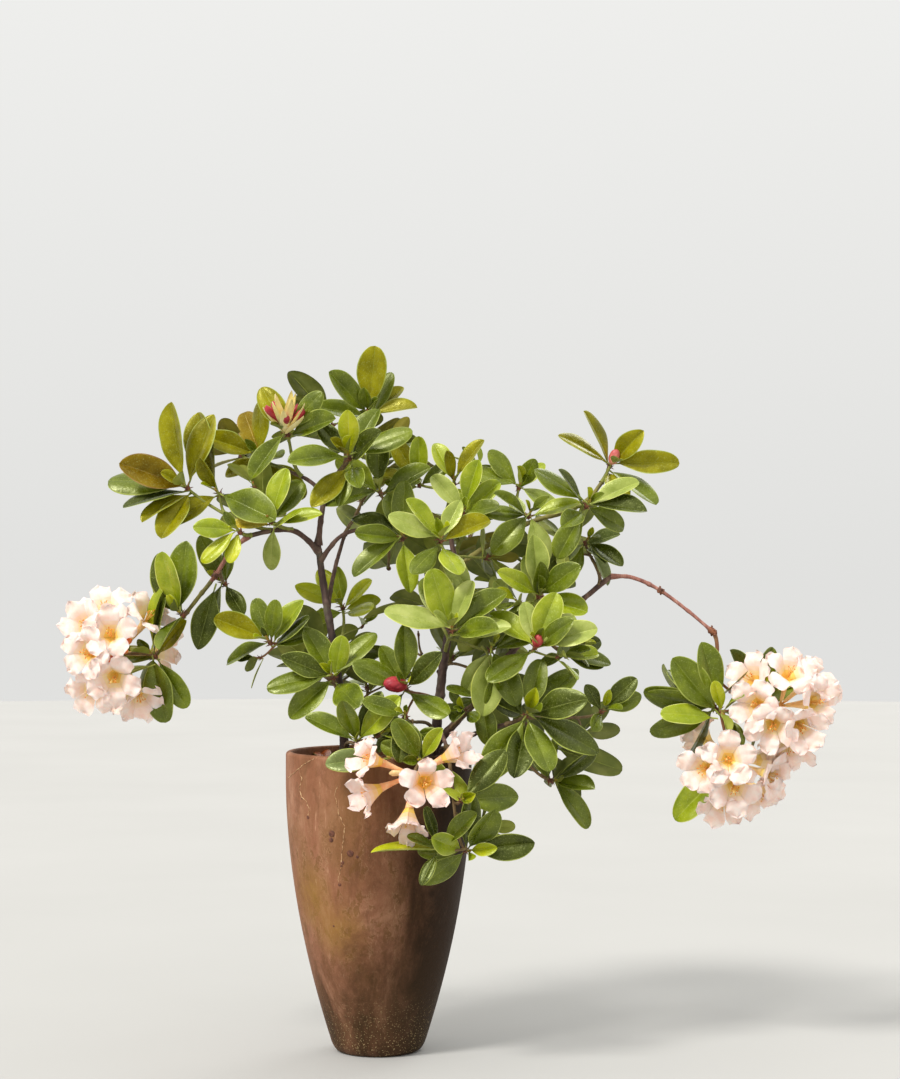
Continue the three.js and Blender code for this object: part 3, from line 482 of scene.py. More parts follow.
def flower_shape(flower, mass):
    tips = flower["rim"][::2]
    around = np.roll(tips, -1, axis=0) - tips
    edges = np.stack([tips - flower["hub"], around], axis=1).reshape(-1, 3)
    points = np.concatenate([flower["hub"][None], tips])
    return make_shape(points, [flower["facing"]], edges, 0, mass=mass, kind="flower")


def mass_eggs(mass):
    """A mass's eggs: the hubs of its trusses and the bud at its first whorl."""
    eggs = [dict(centre=hub, aim=UP, length=FLOWER["hub"], width=FLOWER["hub"]) for hub in mass["hubs"]]
    if mass["bud"]:
        aim, length, width = mass["bud"]
        aim = unit(vector(*aim))
        centre = mass["whorls"][0]["tip"] + aim * (length * BUD_OUT)
        eggs.append(dict(centre=centre, aim=aim, length=length, width=width))
    return eggs


def egg_shape(egg, mass):
    reach = (egg["length"] - egg["width"]) / 2
    ends = [egg["centre"] - egg["aim"] * reach, egg["centre"] + egg["aim"] * reach]
    return make_shape(ends, [], [egg["aim"]], egg["width"] / 2, mass=mass, kind="egg")


# Growth


def listed_whorl(place, fan=(), more=None):
    return dict(place=place, fan=fan, **(more or {}))


def whorl_aim(whorl):
    """Where a whorl's shoot points: up, out from the crown's middle and, at the front, forwards."""
    if "aim" in whorl:
        return unit(vector(*whorl["aim"]))
    x, y, _ = whorl["place"]
    outward = vector(x - CROWN["x"], y - CROWN["y"], 0) * (AIM["out"] / CROWN["spread"])
    return unit(outward + vector(0, -AIM["front"] if whorl["fan"] else 0, AIM["up"]))


def add_twig(mass, corners, foot, tip):
    curved = len(corners) == 4
    line = coarse_line(corners) if curved else np.array(corners)
    radii = foot + (tip - foot) * np.arange(len(line)) / (len(line) - 1)
    fine = bezier(corners, TWIG["fine"]) if curved else np.linspace(*corners, TWIG["straight"])
    mass["twigs"].append(dict(line=line, fine=fine, foot=foot, tip=tip))
    place(*line_shapes(line, radii, mass=mass["name"], kind="twig"))


def add_leaf(mass, whorl, order, direction_of, draw):
    """A leaf turns aside a little where it would touch something, and is left out if that doesn't help."""
    first = LEAF["first"]
    share = first[order] if order < len(first) else between(LEAF["others"], draw())
    length = whorl.get("leaf", mass["leaf"]) * share
    roll = math.radians(LEAF["roll"]) * (draw() - 0.5)
    droop = between(LEAF["droop"], draw())
    foot = whorl["tip"] - whorl["axis"] * (LEAF["spacing"] * order)
    for turn, lift in LEAF_TRIES:
        direction = direction_of(math.radians(turn), math.radians(lift))
        normal = turned(square_to(whorl["axis"], direction), direction, roll)
        leaf = make_leaf(foot - direction * LEAF["root"], direction, normal, length, droop, order)
        shape = leaf_shape(leaf, mass["name"], whorl["id"])
        if is_free(shape, leaf["points"]):
            place(shape)
            mass["leaves"].append(leaf)
            return


def grow_fan(mass, whorl, draw):
    for order, degrees in enumerate(whorl["fan"]):
        lean = math.radians(LEAF["first_lean"] if order == 0 else between(LEAF["lean"], draw()))

        def towards(turn, lift):
            return front_direction(math.radians(degrees) + turn, lean + lift)

        add_leaf(mass, whorl, order, towards, draw)


def grow_spiral(mass, whorl, first, last, draw):
    across = any_square(whorl["axis"])
    start = draw() * TAU
    for order in range(first, last):
        around = start + GOLDEN * order
        rise = math.radians(between(WHORL["rise"], draw()))

        def towards(turn, lift):
            side = turned(across, whorl["axis"], around + turn)
            return side * math.sin(rise + lift) + whorl["axis"] * math.cos(rise + lift)

        add_leaf(mass, whorl, order, towards, draw)


def grow_whorl(mass, whorl, draw):
    listed = len(whorl["fan"])
    grow_fan(mass, whorl, draw)
    grow_spiral(mass, whorl, listed, listed + WHORL["extra"] if listed else WHORL["leaves"], draw)
    mass["grown"].append(whorl)


def grow_stems(mass):
    """A mass's stem, the twigs of its listed whorls and of its trusses, and the space of its eggs."""
    start = along_line(limbs[mass["limb"]]["line"], mass["at"])
    for i, whorl in enumerate(mass["whorls"]):
        whorl.update(tip=vector(*whorl["place"]), axis=whorl_aim(whorl), id=f"{mass['name']}_{i}")
        point, direction = start if i == 0 else along_line(mass["twigs"][0]["line"], FORK_AT)
        corners = bent_corners(point, direction, whorl["tip"], whorl["axis"])
        add_twig(mass, corners, TWIG["foot"] if i == 0 else TWIG["side_foot"], TWIG["tip"])
    for truss in mass["trusses"]:
        hub = vector(*truss["hub"])
        add_twig(mass, [mass["twigs"][0]["line"][-1], hub], TWIG["side_foot"], TWIG["side_foot"])
        mass["hubs"].append(hub)
    place(*[egg_shape(egg, mass["name"]) for egg in mass_eggs(mass)])


def shoot_curve(mass, start, draw):
    """A side shoot's curve: it leaves the stem towards the crown's hidden side."""
    point, along = start
    side = turned(any_square(along), along, draw() * TAU)
    back = SHOOT["back"] if mass["whorls"][0]["fan"] else SHOOT["back_of_back"]
    direction = unit(along * SHOOT["along"] + side + vector(0, back, SHOOT["up"]))
    tip = point + direction * (mass["leaf"] * between(SHOOT["length"], draw()))
    axis = unit(direction + vector(0, 0, SHOOT["lift"]))
    return bent_corners(point, along, tip, axis), tip, axis


def grow_shoots(mass, draw):
    for i in range(mass["shoots"]):
        start = along_line(mass["twigs"][0]["line"], SHOOT["first"] + SHOOT["next"] * i)
        for _ in range(SHOOT["tries"]):
            corners, tip, axis = shoot_curve(mass, start, draw)
            line = coarse_line(corners)
            radii = [TWIG["side_foot"]] * len(line)
            if all_free(line_shapes(line[1:], radii, mass=mass["name"], kind="twig")):
                add_twig(mass, corners, TWIG["side_foot"], TWIG["side_tip"])
                grow_whorl(mass, dict(id=f"{mass['name']}_shoot_{i}", fan=(), tip=tip, axis=axis), draw)
                break


def truss_flowers(truss):
    """Where each flower of a truss points and faces: as listed, then by the golden angle behind."""
    ways = []
    for angle, opened in truss["faces"]:
        direction = front_direction(math.radians(angle), math.radians(90 - opened))
        ways.append((direction, unit(direction + (FRONT - direction) * FLOWER["turned"])))
    for i in range(truss["behind"]):
        direction = front_direction(math.radians(WHORL["turn"] * i), math.radians(-FLOWER["behind"]))
        ways.append((direction, direction))
    return ways


def grow_truss(mass, truss, hub):
    star = [FLOWER["lobe"], FLOWER["notch"]] * 5
    for i, (direction, facing) in enumerate(truss_flowers(truss)):
        mouth = hub + direction * (truss["reach"] - FLOWER["flare"])
        rim = star_ring(mouth + facing * FLOWER["flare"], facing, star, i)
        flower = dict(hub=hub, direction=direction, facing=facing, mouth=mouth, rim=rim, turn=i)
        shape = flower_shape(flower, mass["name"])
        if is_free(shape, rim):
            place(shape)
            mass["flowers"].append(flower)


masses = []
for name, limb, at, leaf, tints, wood, shoots, whorls in MASSES:
    mass = dict(name=name, limb=limb, at=at, leaf=leaf, tints=tints.split(), wood=wood, shoots=shoots)
    mass.update(whorls=[listed_whorl(*whorl) for whorl in whorls], trusses=TRUSSES.get(name, ()))
    mass.update(bud=BUDS.get(name), twigs=[], spurs=[], leaves=[], flowers=[], hubs=[], grown=[])
    masses.append(mass)
by_name = {mass["name"]: mass for mass in masses}

draws = [seeded(i + 1) for i in range(len(masses))]
for mass in masses:
    grow_stems(mass)
for blooming in (True, False):
    for mass, draw in zip(masses, draws):
        if bool(mass["trusses"]) != blooming:
            continue
        for whorl in mass["whorls"]:
            grow_whorl(mass, whorl, draw)
        for truss, hub in zip(mass["trusses"], mass["hubs"]):
            grow_truss(mass, truss, hub)
for mass, draw in zip(masses, draws):
    grow_shoots(mass, draw)


# Small forms gathered into joined pieces

gathered = {}


def add_faces(name, points, quads):
    gathered.setdefault(name, []).append((points, quads))


def add_grid(name, grid, closed=False, flip=False):
    """A grid of points becomes quads of a piece; a closed one joins its last column to its first."""
    rows, columns = grid.shape[:2]
    index = np.arange(rows * columns).reshape(rows, columns)
    left = index if closed else index[:, :-1]
    right = np.roll(index, -1, axis=1) if closed else index[:, 1:]
    quads = np.stack([left[:-1], right[:-1], right[1:], left[1:]], axis=-1).reshape(-1, 4)
    add_faces(name, grid.reshape(-1, 3), quads[:, ::-1] if flip else quads)


def tube_frames(line):
    """Two directions across a line at each point, which turn with it as little as they can."""
    tangents = np.gradient(line, axis=0)
    tangents /= np.linalg.norm(tangents, axis=1)[:, None]
    across = np.zeros_like(line)
    last = any_square(tangents[0])
    for i, tangent in enumerate(tangents):
        last = square_to(last, tangent)
        across[i] = last
    return across, np.cross(tangents, across)


def add_tube(name, line, radii, sides, relief=0):
    """A tube round a line; relief is a share of the radius at each point and side."""
    line = np.asarray(line, dtype=float)
    across, up = tube_frames(line)
    angles = circle(sides)[None, :, None]
    radius = np.asarray(radii, dtype=float)[:, None] * (1 + relief) * np.ones(sides)
    ring = across[:, None, :] * np.cos(angles) + up[:, None, :] * np.sin(angles)
    add_grid(name, line[:, None, :] + ring * radius[:, :, None], closed=True)


# A round end: how far each ring lies past the last point and its radius, both by the last radius
ROUND_END = np.array([(0.5, 0.87), (0.85, 0.53), (1, 0.04)])
POLE = 0.02


def rounded_tip(line, radii, relief=None):
    """A line and its radii with a round end added, and a relief that ends there."""
    line = np.asarray(line, dtype=float)
    direction = unit(line[-1] - line[-2])
    points = line[-1] + direction * radii[-1] * ROUND_END[:, :1]
    line = np.vstack([line, points])
    radii = np.concatenate([radii, radii[-1] * ROUND_END[:, 1]])
    if relief is None:
        return line, radii
    return line, radii, np.vstack([relief, np.zeros((len(ROUND_END), relief.shape[1]))])


def add_ellipsoid(name, centre, aim, length, width, sides=12, rows=9):
    across, up = square_pair(aim)
    polar = np.linspace(POLE, math.pi - POLE, rows)[:, None, None]
    around = circle(sides)[None, :, None]
    side = (across * np.cos(around) + up * np.sin(around)) * np.sin(polar) * width / 2
    add_grid(name, centre + side - aim * np.cos(polar) * length / 2, closed=True)


# Materials


def colour(*rgb):
    """Linear values of a colour given as it shows on a screen, from 0 to 255."""
    shares = [c / 255 for c in rgb]
    return tuple(c / 12.92 if c <= 0.04045 else ((c + 0.055) / 1.055) ** 2.4 for c in shares) + (1.0,)


class Nodes:
    """Short ways to make the nodes of one material."""

    def __init__(self, name, roughness=0.6, **sockets):
        self.material = bpy.data.materials.new(name)
        self.material.use_nodes = True
        self.tree = self.material.node_tree
        self.shader = self.tree.nodes["Principled BSDF"]
        self.shader.inputs["Roughness"].default_value = roughness
        for socket, value in sockets.items():
            self.shader.inputs[socket.replace("_", " ").title().replace("Ior", "IOR")].default_value = value
        self.place = self.tree.nodes.new("ShaderNodeTexCoord").outputs["Object"]

    def fill(self, socket, value):
        """A socket takes a plain value or another node's output."""
        if isinstance(value, bpy.types.NodeSocket):
            self.tree.links.new(value, socket)
        else:
            socket.default_value = value

    def node(self, kind, values, **settings):
        """A node with its settings and the values of its sockets by name or number."""
        node = self.tree.nodes.new("ShaderNode" + kind)
        for key, value in settings.items():
            setattr(node, key, value)
        for socket, value in values.items():
            self.fill(node.inputs[socket], value)
        return node

    def noise(self, scale, detail=3.0, roughness=0.55, distortion=0.0, offset=(0, 0, 0)):
        """A noise of one scale, or of a scale along each axis with an offset."""
        where = self.place
        if isinstance(scale, tuple):
            where = self.node("Mapping", dict(Vector=where, Scale=scale, Location=offset)).outputs["Vector"]
            scale = 1.0
        values = dict(Vector=where, Scale=scale, Detail=detail, Roughness=roughness, Distortion=distortion)
        return self.node("TexNoise", values).outputs["Fac"]

    def ramp(self, value, stops):
        """A colour ramp from (position, colour) pairs."""
        node = self.node("ValToRGB", dict(Fac=value))
        elements = node.color_ramp.elements
        while len(elements) < len(stops):
            elements.new(0.5)
        for element, (position, shade) in zip(elements, stops):
            element.position = position
            element.color = colour(*shade)
        return node.outputs["Color"]

    def share(self, value, low, high, out_low=0.0, out_high=1.0):
        """A value from low to high becomes one from out_low to out_high."""
        values = {"Value": value, 1: low, 2: high, 3: out_low, 4: out_high}
        return self.node("MapRange", values).outputs["Result"]

    def mix(self, share, first, shade):
        """A colour mixed with a shade by a share."""
        node = self.node("Mix", {}, data_type="RGBA")
        for socket, value in ((0, share), (6, first), (7, colour(*shade))):
            self.fill(node.inputs[socket], value)
        return node.outputs[2]

    def math(self, operation, *values):
        return self.node("Math", dict(enumerate(values)), operation=operation).outputs["Value"]

    def multiply(self, first, second):
        return self.math("MULTIPLY", first, second)

    def finish(self, base, roughness=None, bump=None, strength=0.3, distance=0.001):
        """The shader takes its colour, roughness and relief."""
        self.fill(self.shader.inputs["Base Color"], base)
        if roughness is not None:
            self.fill(self.shader.inputs["Roughness"], roughness)
        if bump is not None:
            node = self.node("Bump", dict(Strength=strength, Distance=distance, Height=bump))
            self.fill(self.shader.inputs["Normal"], node.outputs["Normal"])
        return self.material


def mottled(name, shades, scale, roughness, bump_scale=400, strength=0.2, distance=0.0005):
    """A material of three shades that follow one another in a noise, with a fine relief."""
    nodes = Nodes(name)
    base = nodes.ramp(nodes.noise(scale, detail=4), list(zip((0.34, 0.5, 0.66), shades)))
    rough = nodes.share(nodes.noise(scale * 2.3), 0.3, 0.7, *roughness)
    return nodes.finish(base, rough, nodes.noise(bump_scale), strength, distance)


def leaf_material(name, shades, wax):
    """A leathery leaf: soft patches, faint pale specks of painted sheen and a waxy top."""
    nodes = Nodes(name, specular_ior_level=0.62, specular_tint=wax)
    patches = nodes.ramp(nodes.noise(34, detail=4), list(zip((0.34, 0.52, 0.7), shades)))
    # Faint pale specks of painted sheen, in a pale yellow-green
    painted_sheen_specks = nodes.share(nodes.noise(620), 0.57, 0.7, 0.0, 0.3)
    base = nodes.mix(painted_sheen_specks, patches, (196, 204, 128))
    rough = nodes.share(nodes.noise(70), 0.3, 0.7, 0.2, 0.42)
    return nodes.finish(base, rough, nodes.noise(170, detail=6, roughness=0.62), 0.65, 0.0009)


def bark_material(name, shades, streaks=(90, 90, 22), moss=0.0):
    """Bark: shades along its grain, a fine rough relief and a little grey-green on the oldest wood."""
    nodes = Nodes(name)
    grain = nodes.noise(streaks, detail=7, roughness=0.65)
    base = nodes.ramp(grain, list(zip((0.28, 0.5, 0.72), shades)))
    if moss:
        patch = nodes.share(nodes.noise(38, detail=5), 0.52, 0.66, 0.0, moss)
        base = nodes.mix(patch, base, (122, 124, 98))
    rough = nodes.share(grain, 0.3, 0.7, 0.62, 0.82)
    return nodes.finish(base, rough, nodes.noise(480, detail=6, roughness=0.7), 0.6, 0.0009)


def petal_material(name, shades):
    """A thin soft petal with patches of light and shade."""
    nodes = Nodes(name, specular_ior_level=0.3, subsurface_weight=0.4, subsurface_scale=0.0016)
    nodes.shader.inputs["Subsurface Radius"].default_value = (1.0, 0.66, 0.5)
    soft = nodes.ramp(nodes.noise(90), list(zip((0.3, 0.5, 0.72), shades)))
    rough = nodes.share(nodes.noise(200), 0.3, 0.7, 0.5, 0.66)
    return nodes.finish(soft, rough, nodes.noise(620), 0.25, 0.0003)


# Leaves in full

BLADE_START = 0.11
BLADE_ROWS = np.concatenate([[0.11, 0.125, 0.15], np.linspace(0.18, 0.96, 19), [0.985, 1]])
BLADE_COLUMNS = np.array([-1, -0.93, -0.74, -0.5, -0.25, -0.07, 0, 0.07, 0.25, 0.5, 0.74, 0.93, 1])
UNDER_COLUMNS = BLADE_COLUMNS[::2]
RIB_SHARES = np.array([0, 0.04, 0.08, 0.12, 0.18, 0.26, 0.35, 0.45, 0.55, 0.66, 0.77, 0.87, 0.95])
RIB = dict(stalk=0.0145, blade=0.0115, tip=0.002, proud=0.16)
BLADE_HALF = 0.22
GROOVE = dict(depth=0.007, width=0.1)
# Side veins: how many run along a blade and how far they slant towards the tip
VEINS = dict(count=7.5, slant=0.13)
# The ways in which one leaf's blade differs from the next
LEAF_LOOK = dict(
    widest=(0.54, 0.64), broad=(0.93, 1.14), cup=(0.03, 0.17), veins=(0.0018, 0.0062), curl=(0.03, 0.075),
    wave=(0.002, 0.012), waves=(0.8, 1.7), phase=(0, 1), swerve=(-0.05, 0.05), tip=(0.0, 0.06),
    foot=(0.9, 1.3), point=(0.42, 0.68), uneven=(0.0, 0.07),
)
YOUNG_CUP = 0.08
# Where light shows through the crown from the camera: x and z at the trunks, half the width and the height
GAPS = [
    (43, 607, 49, 31), (30, 537, 55, 31), (-32, 657, 29, 23),
    (-68, 725, 23, 26), (164, 705, 31, 29), (147, 761, 18, 13),
]
EYE = dict(x=92.7, z=601, far=2925, behind=20)
WAX = (0.96, 1.0, 0.56, 1.0)
# Each tint of leaf: its underside, its margin, its rib, its shades, and its sheen where that differs
# The dark and bright tints are partly the leaves' own colour and partly painted shade and painted light; the
# pale and grey tints paint a sheen
TINTS = dict(
    dark=("green", "green", "green", ((40, 49, 2), (55, 64, 5), (72, 82, 8)), (0.9, 1.0, 0.42, 1.0)),
    mid=("green", "green", "green", ((70, 83, 4), (91, 104, 8), (113, 126, 16))),
    bright=("pale", "pale", "pale", ((114, 130, 8), (140, 154, 18), (164, 174, 42))),
    pale=("pale", "pale", "pale", ((128, 142, 54), (154, 166, 78), (178, 186, 104))),
    young=("pale", "pale", "pale", ((146, 156, 6), (170, 176, 14), (192, 192, 36))),
    olive=("olive", "green", "green", ((98, 95, 1), (126, 121, 3), (150, 146, 14)), (0.9, 0.84, 0.22, 1.0)),
    brown=("olive", "brown", "red", ((98, 76, 2), (122, 98, 8), (144, 120, 20)), (0.9, 0.8, 0.22, 1.0)),
    grey=("green", "green", "green", ((82, 94, 44), (102, 114, 60), (126, 138, 84))),
    yellow=("pale", "pale", "pale", ((188, 162, 36), (210, 188, 54), (224, 206, 86))),
    dead=("olive", "brown", "red", ((120, 54, 24), (156, 76, 34), (184, 110, 50)), (0.8, 0.4, 0.2, 1.0)),
)
looks = seeded(911)


def chosen(limits):
    return between(limits, looks())


def blade_width(share, look):
    """The half width of a blade at shares of its length, as a share of the widest."""
    widest = look["widest"]
    before = np.clip((share - BLADE_START) / (widest - BLADE_START), 0, 1)
    before = np.sin(before * math.pi / 2) ** look["foot"]
    after = (1 - np.clip((share - widest) / (1 - widest), 0, 1) ** 2.1) ** look["point"]
    return np.where(share < widest, before, after)


def blade_points(leaf, look, share, side, raised):
    """Points of a leaf's blade, with its cup, curled margins, groove and waves."""
    share = share[:, None]
    side = side[None, :]
    out = np.abs(side)
    length = leaf["length"]
    wide = blade_width(share, look) * look["broad"]
    wide = wide * (1 + look["uneven"] * np.sin(7 * share + 40 * look["phase"] + (side > 0) * 2))
    fold = look["cup"] * out - look["curl"] * out**2.6
    wave = look["wave"] * np.sin(TAU * (look["waves"] * share + look["phase"]) + (side > 0) * 1.9)
    groove = GROOVE["depth"] * np.exp(-((side / GROOVE["width"]) ** 2)) * np.clip(1.1 - share, 0, 1)
    drop = leaf["droop"] * share**2 + look["tip"] * np.clip(share - 0.75, 0, 1) ** 2 * 4
    along_vein = VEINS["count"] * (share - VEINS["slant"] * out) / (1 - BLADE_START)
    vein = look["veins"] * np.sin(TAU * along_vein) * np.sin(math.pi * out) * np.sin(math.pi * share)
    lift = length * (wide * (fold + wave * side**2) + vein - groove - drop) + raised
    across = wide * side * LEAF["width"] / 2 * length + look["swerve"] * length * share**2
    return (
        leaf["root"]
        + leaf["direction"] * (share * length)[..., None]
        + leaf["across"] * across[..., None]
        + leaf["normal"] * lift[..., None]
    )


def in_a_gap(point):
    """Whether a leaf or bud at a point at the back would close a gap in the crown."""
    x, y, z = point
    if y < EYE["behind"]:
        return False
    nearer = EYE["far"] / (EYE["far"] + y)
    x = EYE["x"] + (x - EYE["x"]) * nearer
    z = EYE["z"] + (z - EYE["z"]) * nearer
    return any(((x - left) / wide) ** 2 + ((z - up) / high) ** 2 < 1 for left, up, wide, high in GAPS)


def add_leaf_mesh(leaf, tint, young=False):
    """A leaf's top sheet, its underside on the same rim, and its stalk, which runs on as the rib."""
    look = {key: chosen(limits) for key, limits in LEAF_LOOK.items()}
    look["cup"] += YOUNG_CUP if young else 0
    if in_a_gap(leaf["points"].mean(axis=0)):
        return
    full = np.minimum(1, np.minimum((BLADE_ROWS - BLADE_START) * 30, (1 - BLADE_ROWS) * 20))[:, None]
    thick = BLADE_HALF * (1 - BLADE_COLUMNS[None, :] ** 6) * full
    under, margin, rib = TINTS[tint][:3]
    upper = blade_points(leaf, look, BLADE_ROWS, BLADE_COLUMNS, thick)
    add_grid(f"leaves_{tint}", upper[:, 1:-1], flip=True)
    for edge in (upper[:, :2], upper[:, -2:]):
        add_grid(f"margins_{margin}", edge, flip=True)
    add_grid(f"undersides_{under}", blade_points(leaf, look, BLADE_ROWS, UNDER_COLUMNS, -thick[:, ::2]))
    on_stalk = RIB_SHARES < BLADE_START
    blade_radii = between((RIB["blade"], RIB["tip"]), (RIB_SHARES - BLADE_START) / (1 - BLADE_START))
    radii = leaf["length"] * np.where(on_stalk, RIB["stalk"], blade_radii)
    sunk = np.where(on_stalk, 0, BLADE_HALF + RIB["proud"] - radii)
    line = blade_points(leaf, look, RIB_SHARES, np.zeros(1), sunk[:, None])[:, 0]
    add_tube(f"ribs_{rib}", line, radii, 5)


def tint_of(mass, leaf):
    return mass["tints"][leaf["order"] % len(mass["tints"])]


for mass in masses:
    for leaf in mass["leaves"]:
        add_leaf_mesh(leaf, tint_of(mass, leaf))


# Finer growth inside the same reach: young leaves and a scaly bud at each tip, and short side twigs

YOUNG = dict(count=3, length=(0.26, 0.5), lean=(12, 34), droop=(0.0, 0.05))
TIP_BUD = dict(length=(8, 11), width=4.6, scales=7, out=0.45)
SPUR = dict(
    shortest=55, along=(0.55, 0.9), length=(0.34, 0.62), leaves=5, size=(0.42, 0.66), lean=(38, 70), tries=6,
    follow=0.7, up=0.6, steps=6, fine=14, radius=1.4, foot=1.5, tip=1.2, spacing=2, droop=0.05, smaller=0.7,
)
# Masses that stay open, where daylight shows between the leaves
OPEN = (
    "inner", "middle_high", "middle_front", "upper_right_inner", "back_left", "back_middle", "back_right",
    "far_left",
)
# Short twigs and leaves that stand out in front and round the flower clusters, as the photograph shows them:
# the mass with a twig's two ends, or with a leaf's tint, length, foot, direction and face
LATE_TWIGS = [
    ("pot_front", (114, -166, 279), (80, -171, 280)),
    ("front_bloom", (54, -132, 385), (20, -131, 386)),
    ("right_bloom", (446, -20, 438), (476, -10, 449)),
]
LATE_LEAVES = [
    ("young", 84, (80, -172, 279), (-1, -0.06, 0.03), (0.02, -0.2, 1)),
    ("dark", 50, (80, -172, 278), (-0.5, -0.4, -0.8), (-0.4, -0.8, 0.5)),
    ("mid", 62, (82, -172, 281), (0.66, -0.25, 0.7), (-0.5, -0.8, 0.3)),
    ("dark", 54, (78, -172, 282), (-0.22, -0.3, 0.92), (0.7, -0.6, 0.1)),
    ("mid", 40, (76, -172, 281), (-0.85, -0.3, 0.4), (0.1, -0.8, 0.6)),
    ("grey", 80, (18, -131, 386), (-1, -0.1, -0.04), (-0.1, -0.9, 0.42)),
    ("bright", 78, (58, -133, 382), (0.8, -0.25, -0.56), (0.3, -0.8, 0.5)),
    ("mid", 50, (440, -40, 434), (0.5, -0.5, -0.7), (0.2, -0.9, 0.4)),
    ("bright", 46, (442, -42, 440), (0.45, -0.75, 0.5), (-0.2, -0.5, 0.8)),
    ("bright", 96, (450, -20, 366), (-0.72, 0.02, -0.69), (-0.3, -0.8, 0.4)),
    ("bright", 92, (-290, -46, 516), (0.2, -0.14, 0.97), (-0.9, -0.4, 0.1)),
    ("pale", 58, (-284, -52, 500), (-0.85, -0.45, -0.3), (-0.3, -0.3, 0.9)),
    ("dark", 88, (-208, -32, 603), (-0.3, -0.1, -0.95), (0.16, -0.98, 0.1)),
    ("mid", 96, (439, -38, 434), (-0.66, -0.16, 0.74), (-0.1, -0.95, 0.24)),
    ("bright", 76, (436, -42, 430), (-0.96, -0.2, 0.16), (0.02, -0.84, 0.54)),
    ("young", 46, (441, -46, 438), (-0.24, -0.42, 0.86), (-0.1, -0.84, 0.5)),
    ("mid", 84, (474, -10, 448), (0.93, -0.02, 0.36), (-0.2, -0.9, 0.36)),
]
LATE_TWIG = dict(bend=0.3, sag=4, steps=12, foot=1.7, tip=1.4)
LATE_DROOP = 0.07


def add_scaly_bud(
    name, centre, aim, length, width, scales, spread=0.55, reach=0.42, lift=0.09, detail=(6, 7)
):
    """A bud of pointed scales that follow the golden angle from its foot to its tip."""
    add_ellipsoid(name, centre, aim, length * 0.94, width * 0.9, 2 * detail[0], detail[1])
    across, up = square_pair(aim)
    along = np.linspace(0, 1, detail[0])[:, None]
    side = np.linspace(-1, 1, detail[1])[None, :]
    for i in range(scales):
        start = -0.06 + 0.72 * i / scales
        polar = math.pi * np.clip(start + reach * along, 0.02, 0.985) + side * 0
        pointed = np.sin((0.22 + 0.78 * along) * math.pi) ** 0.7 * (1 - along**5) + 0.02
        around = GOLDEN * i + side * spread * pointed / np.maximum(0.35, np.sin(polar))
        out = 1 + lift * along + 0.03 - 0.05 * side**2
        ring = across * np.cos(around)[..., None] + up * np.sin(around)[..., None]
        grid = centre + ring * (np.sin(polar) * out * width / 2)[..., None]
        add_grid(name, grid - aim * (np.cos(polar) * length / 2 * (1 + 0.04 * along))[..., None])


def small_leaf(mass, whorl, side, lean, length, droop, order, foot):
    """A leaf that leans out of a whorl's axis to one side, and its shape."""
    direction = side * math.sin(lean) + whorl["axis"] * math.cos(lean)
    leaf = make_leaf(foot, direction, square_to(whorl["axis"], direction), length, droop, order)
    return leaf, leaf_shape(leaf, mass["name"], whorl["id"])


def young_leaves(mass, whorl):
    """Small leaves that stand up round a whorl's tip, each where it has room."""
    across = any_square(whorl["axis"])
    start = looks() * TAU
    for i in range(YOUNG["count"]):
        lean = math.radians(chosen(YOUNG["lean"]))
        length = mass["leaf"] * chosen(YOUNG["length"])
        side = turned(across, whorl["axis"], start + GOLDEN * i)
        leaf, shape = small_leaf(mass, whorl, side, lean, length, chosen(YOUNG["droop"]), i, whorl["tip"])
        if is_free(shape, leaf["points"]):
            place(shape)
            add_leaf_mesh(leaf, "young" if i % 2 else mass["tints"][-1], young=True)


def grow_spur(mass, twig, index):
    """A short side twig with small leaves, where it has room."""
    if distances(twig["line"])[-1] < SPUR["shortest"]:
        return
    for _ in range(SPUR["tries"]):
        point, along = along_line(twig["line"], chosen(SPUR["along"]))
        side = turned(any_square(along), along, looks() * TAU)
        direction = unit(along * SPUR["follow"] + side)
        tip = point + direction * (mass["leaf"] * chosen(SPUR["length"]))
        axis = unit(direction + vector(0, 0, SPUR["up"]))
        corners = bent_corners(point, along, tip, axis)
        line = bezier(corners, SPUR["steps"])
        trial = line_shapes(line[2:], [SPUR["radius"]] * len(line), mass=mass["name"], kind="twig")
        if not all_free(trial):
            continue
        whorl = dict(id=f"{mass['name']}_spur_{index}", tip=tip, axis=axis, spur=True)
        grown = []
        across = any_square(axis)
        start = looks() * TAU
        for order in range(SPUR["leaves"]):
            lean = math.radians(chosen(SPUR["lean"]))
            side = turned(across, axis, start + GOLDEN * order)
            length = mass["leaf"] * chosen(SPUR["size"])
            foot = tip - axis * SPUR["spacing"] * order
            leaf, shape = small_leaf(mass, whorl, side, lean, length, SPUR["droop"], order, foot)
            if is_free(shape, leaf["points"]):
                grown.append(leaf)
                place(shape)
        if grown:
            place(*trial)
            fine = bezier(corners, SPUR["fine"])
            mass["spurs"].append(dict(fine=fine, foot=SPUR["foot"], tip=SPUR["tip"]))
            mass["grown"].append(whorl)
            for leaf in grown:
                add_leaf_mesh(leaf, tint_of(mass, leaf))
            return


for mass in masses:
    listed = len(mass["whorls"])
    bare = range(listed, listed + len(mass["hubs"]))
    for index, twig in enumerate(mass["twigs"]):
        if mass["name"] not in OPEN and index not in bare:
            grow_spur(mass, twig, index)
    for whorl in mass["grown"]:
        young_leaves(mass, whorl)

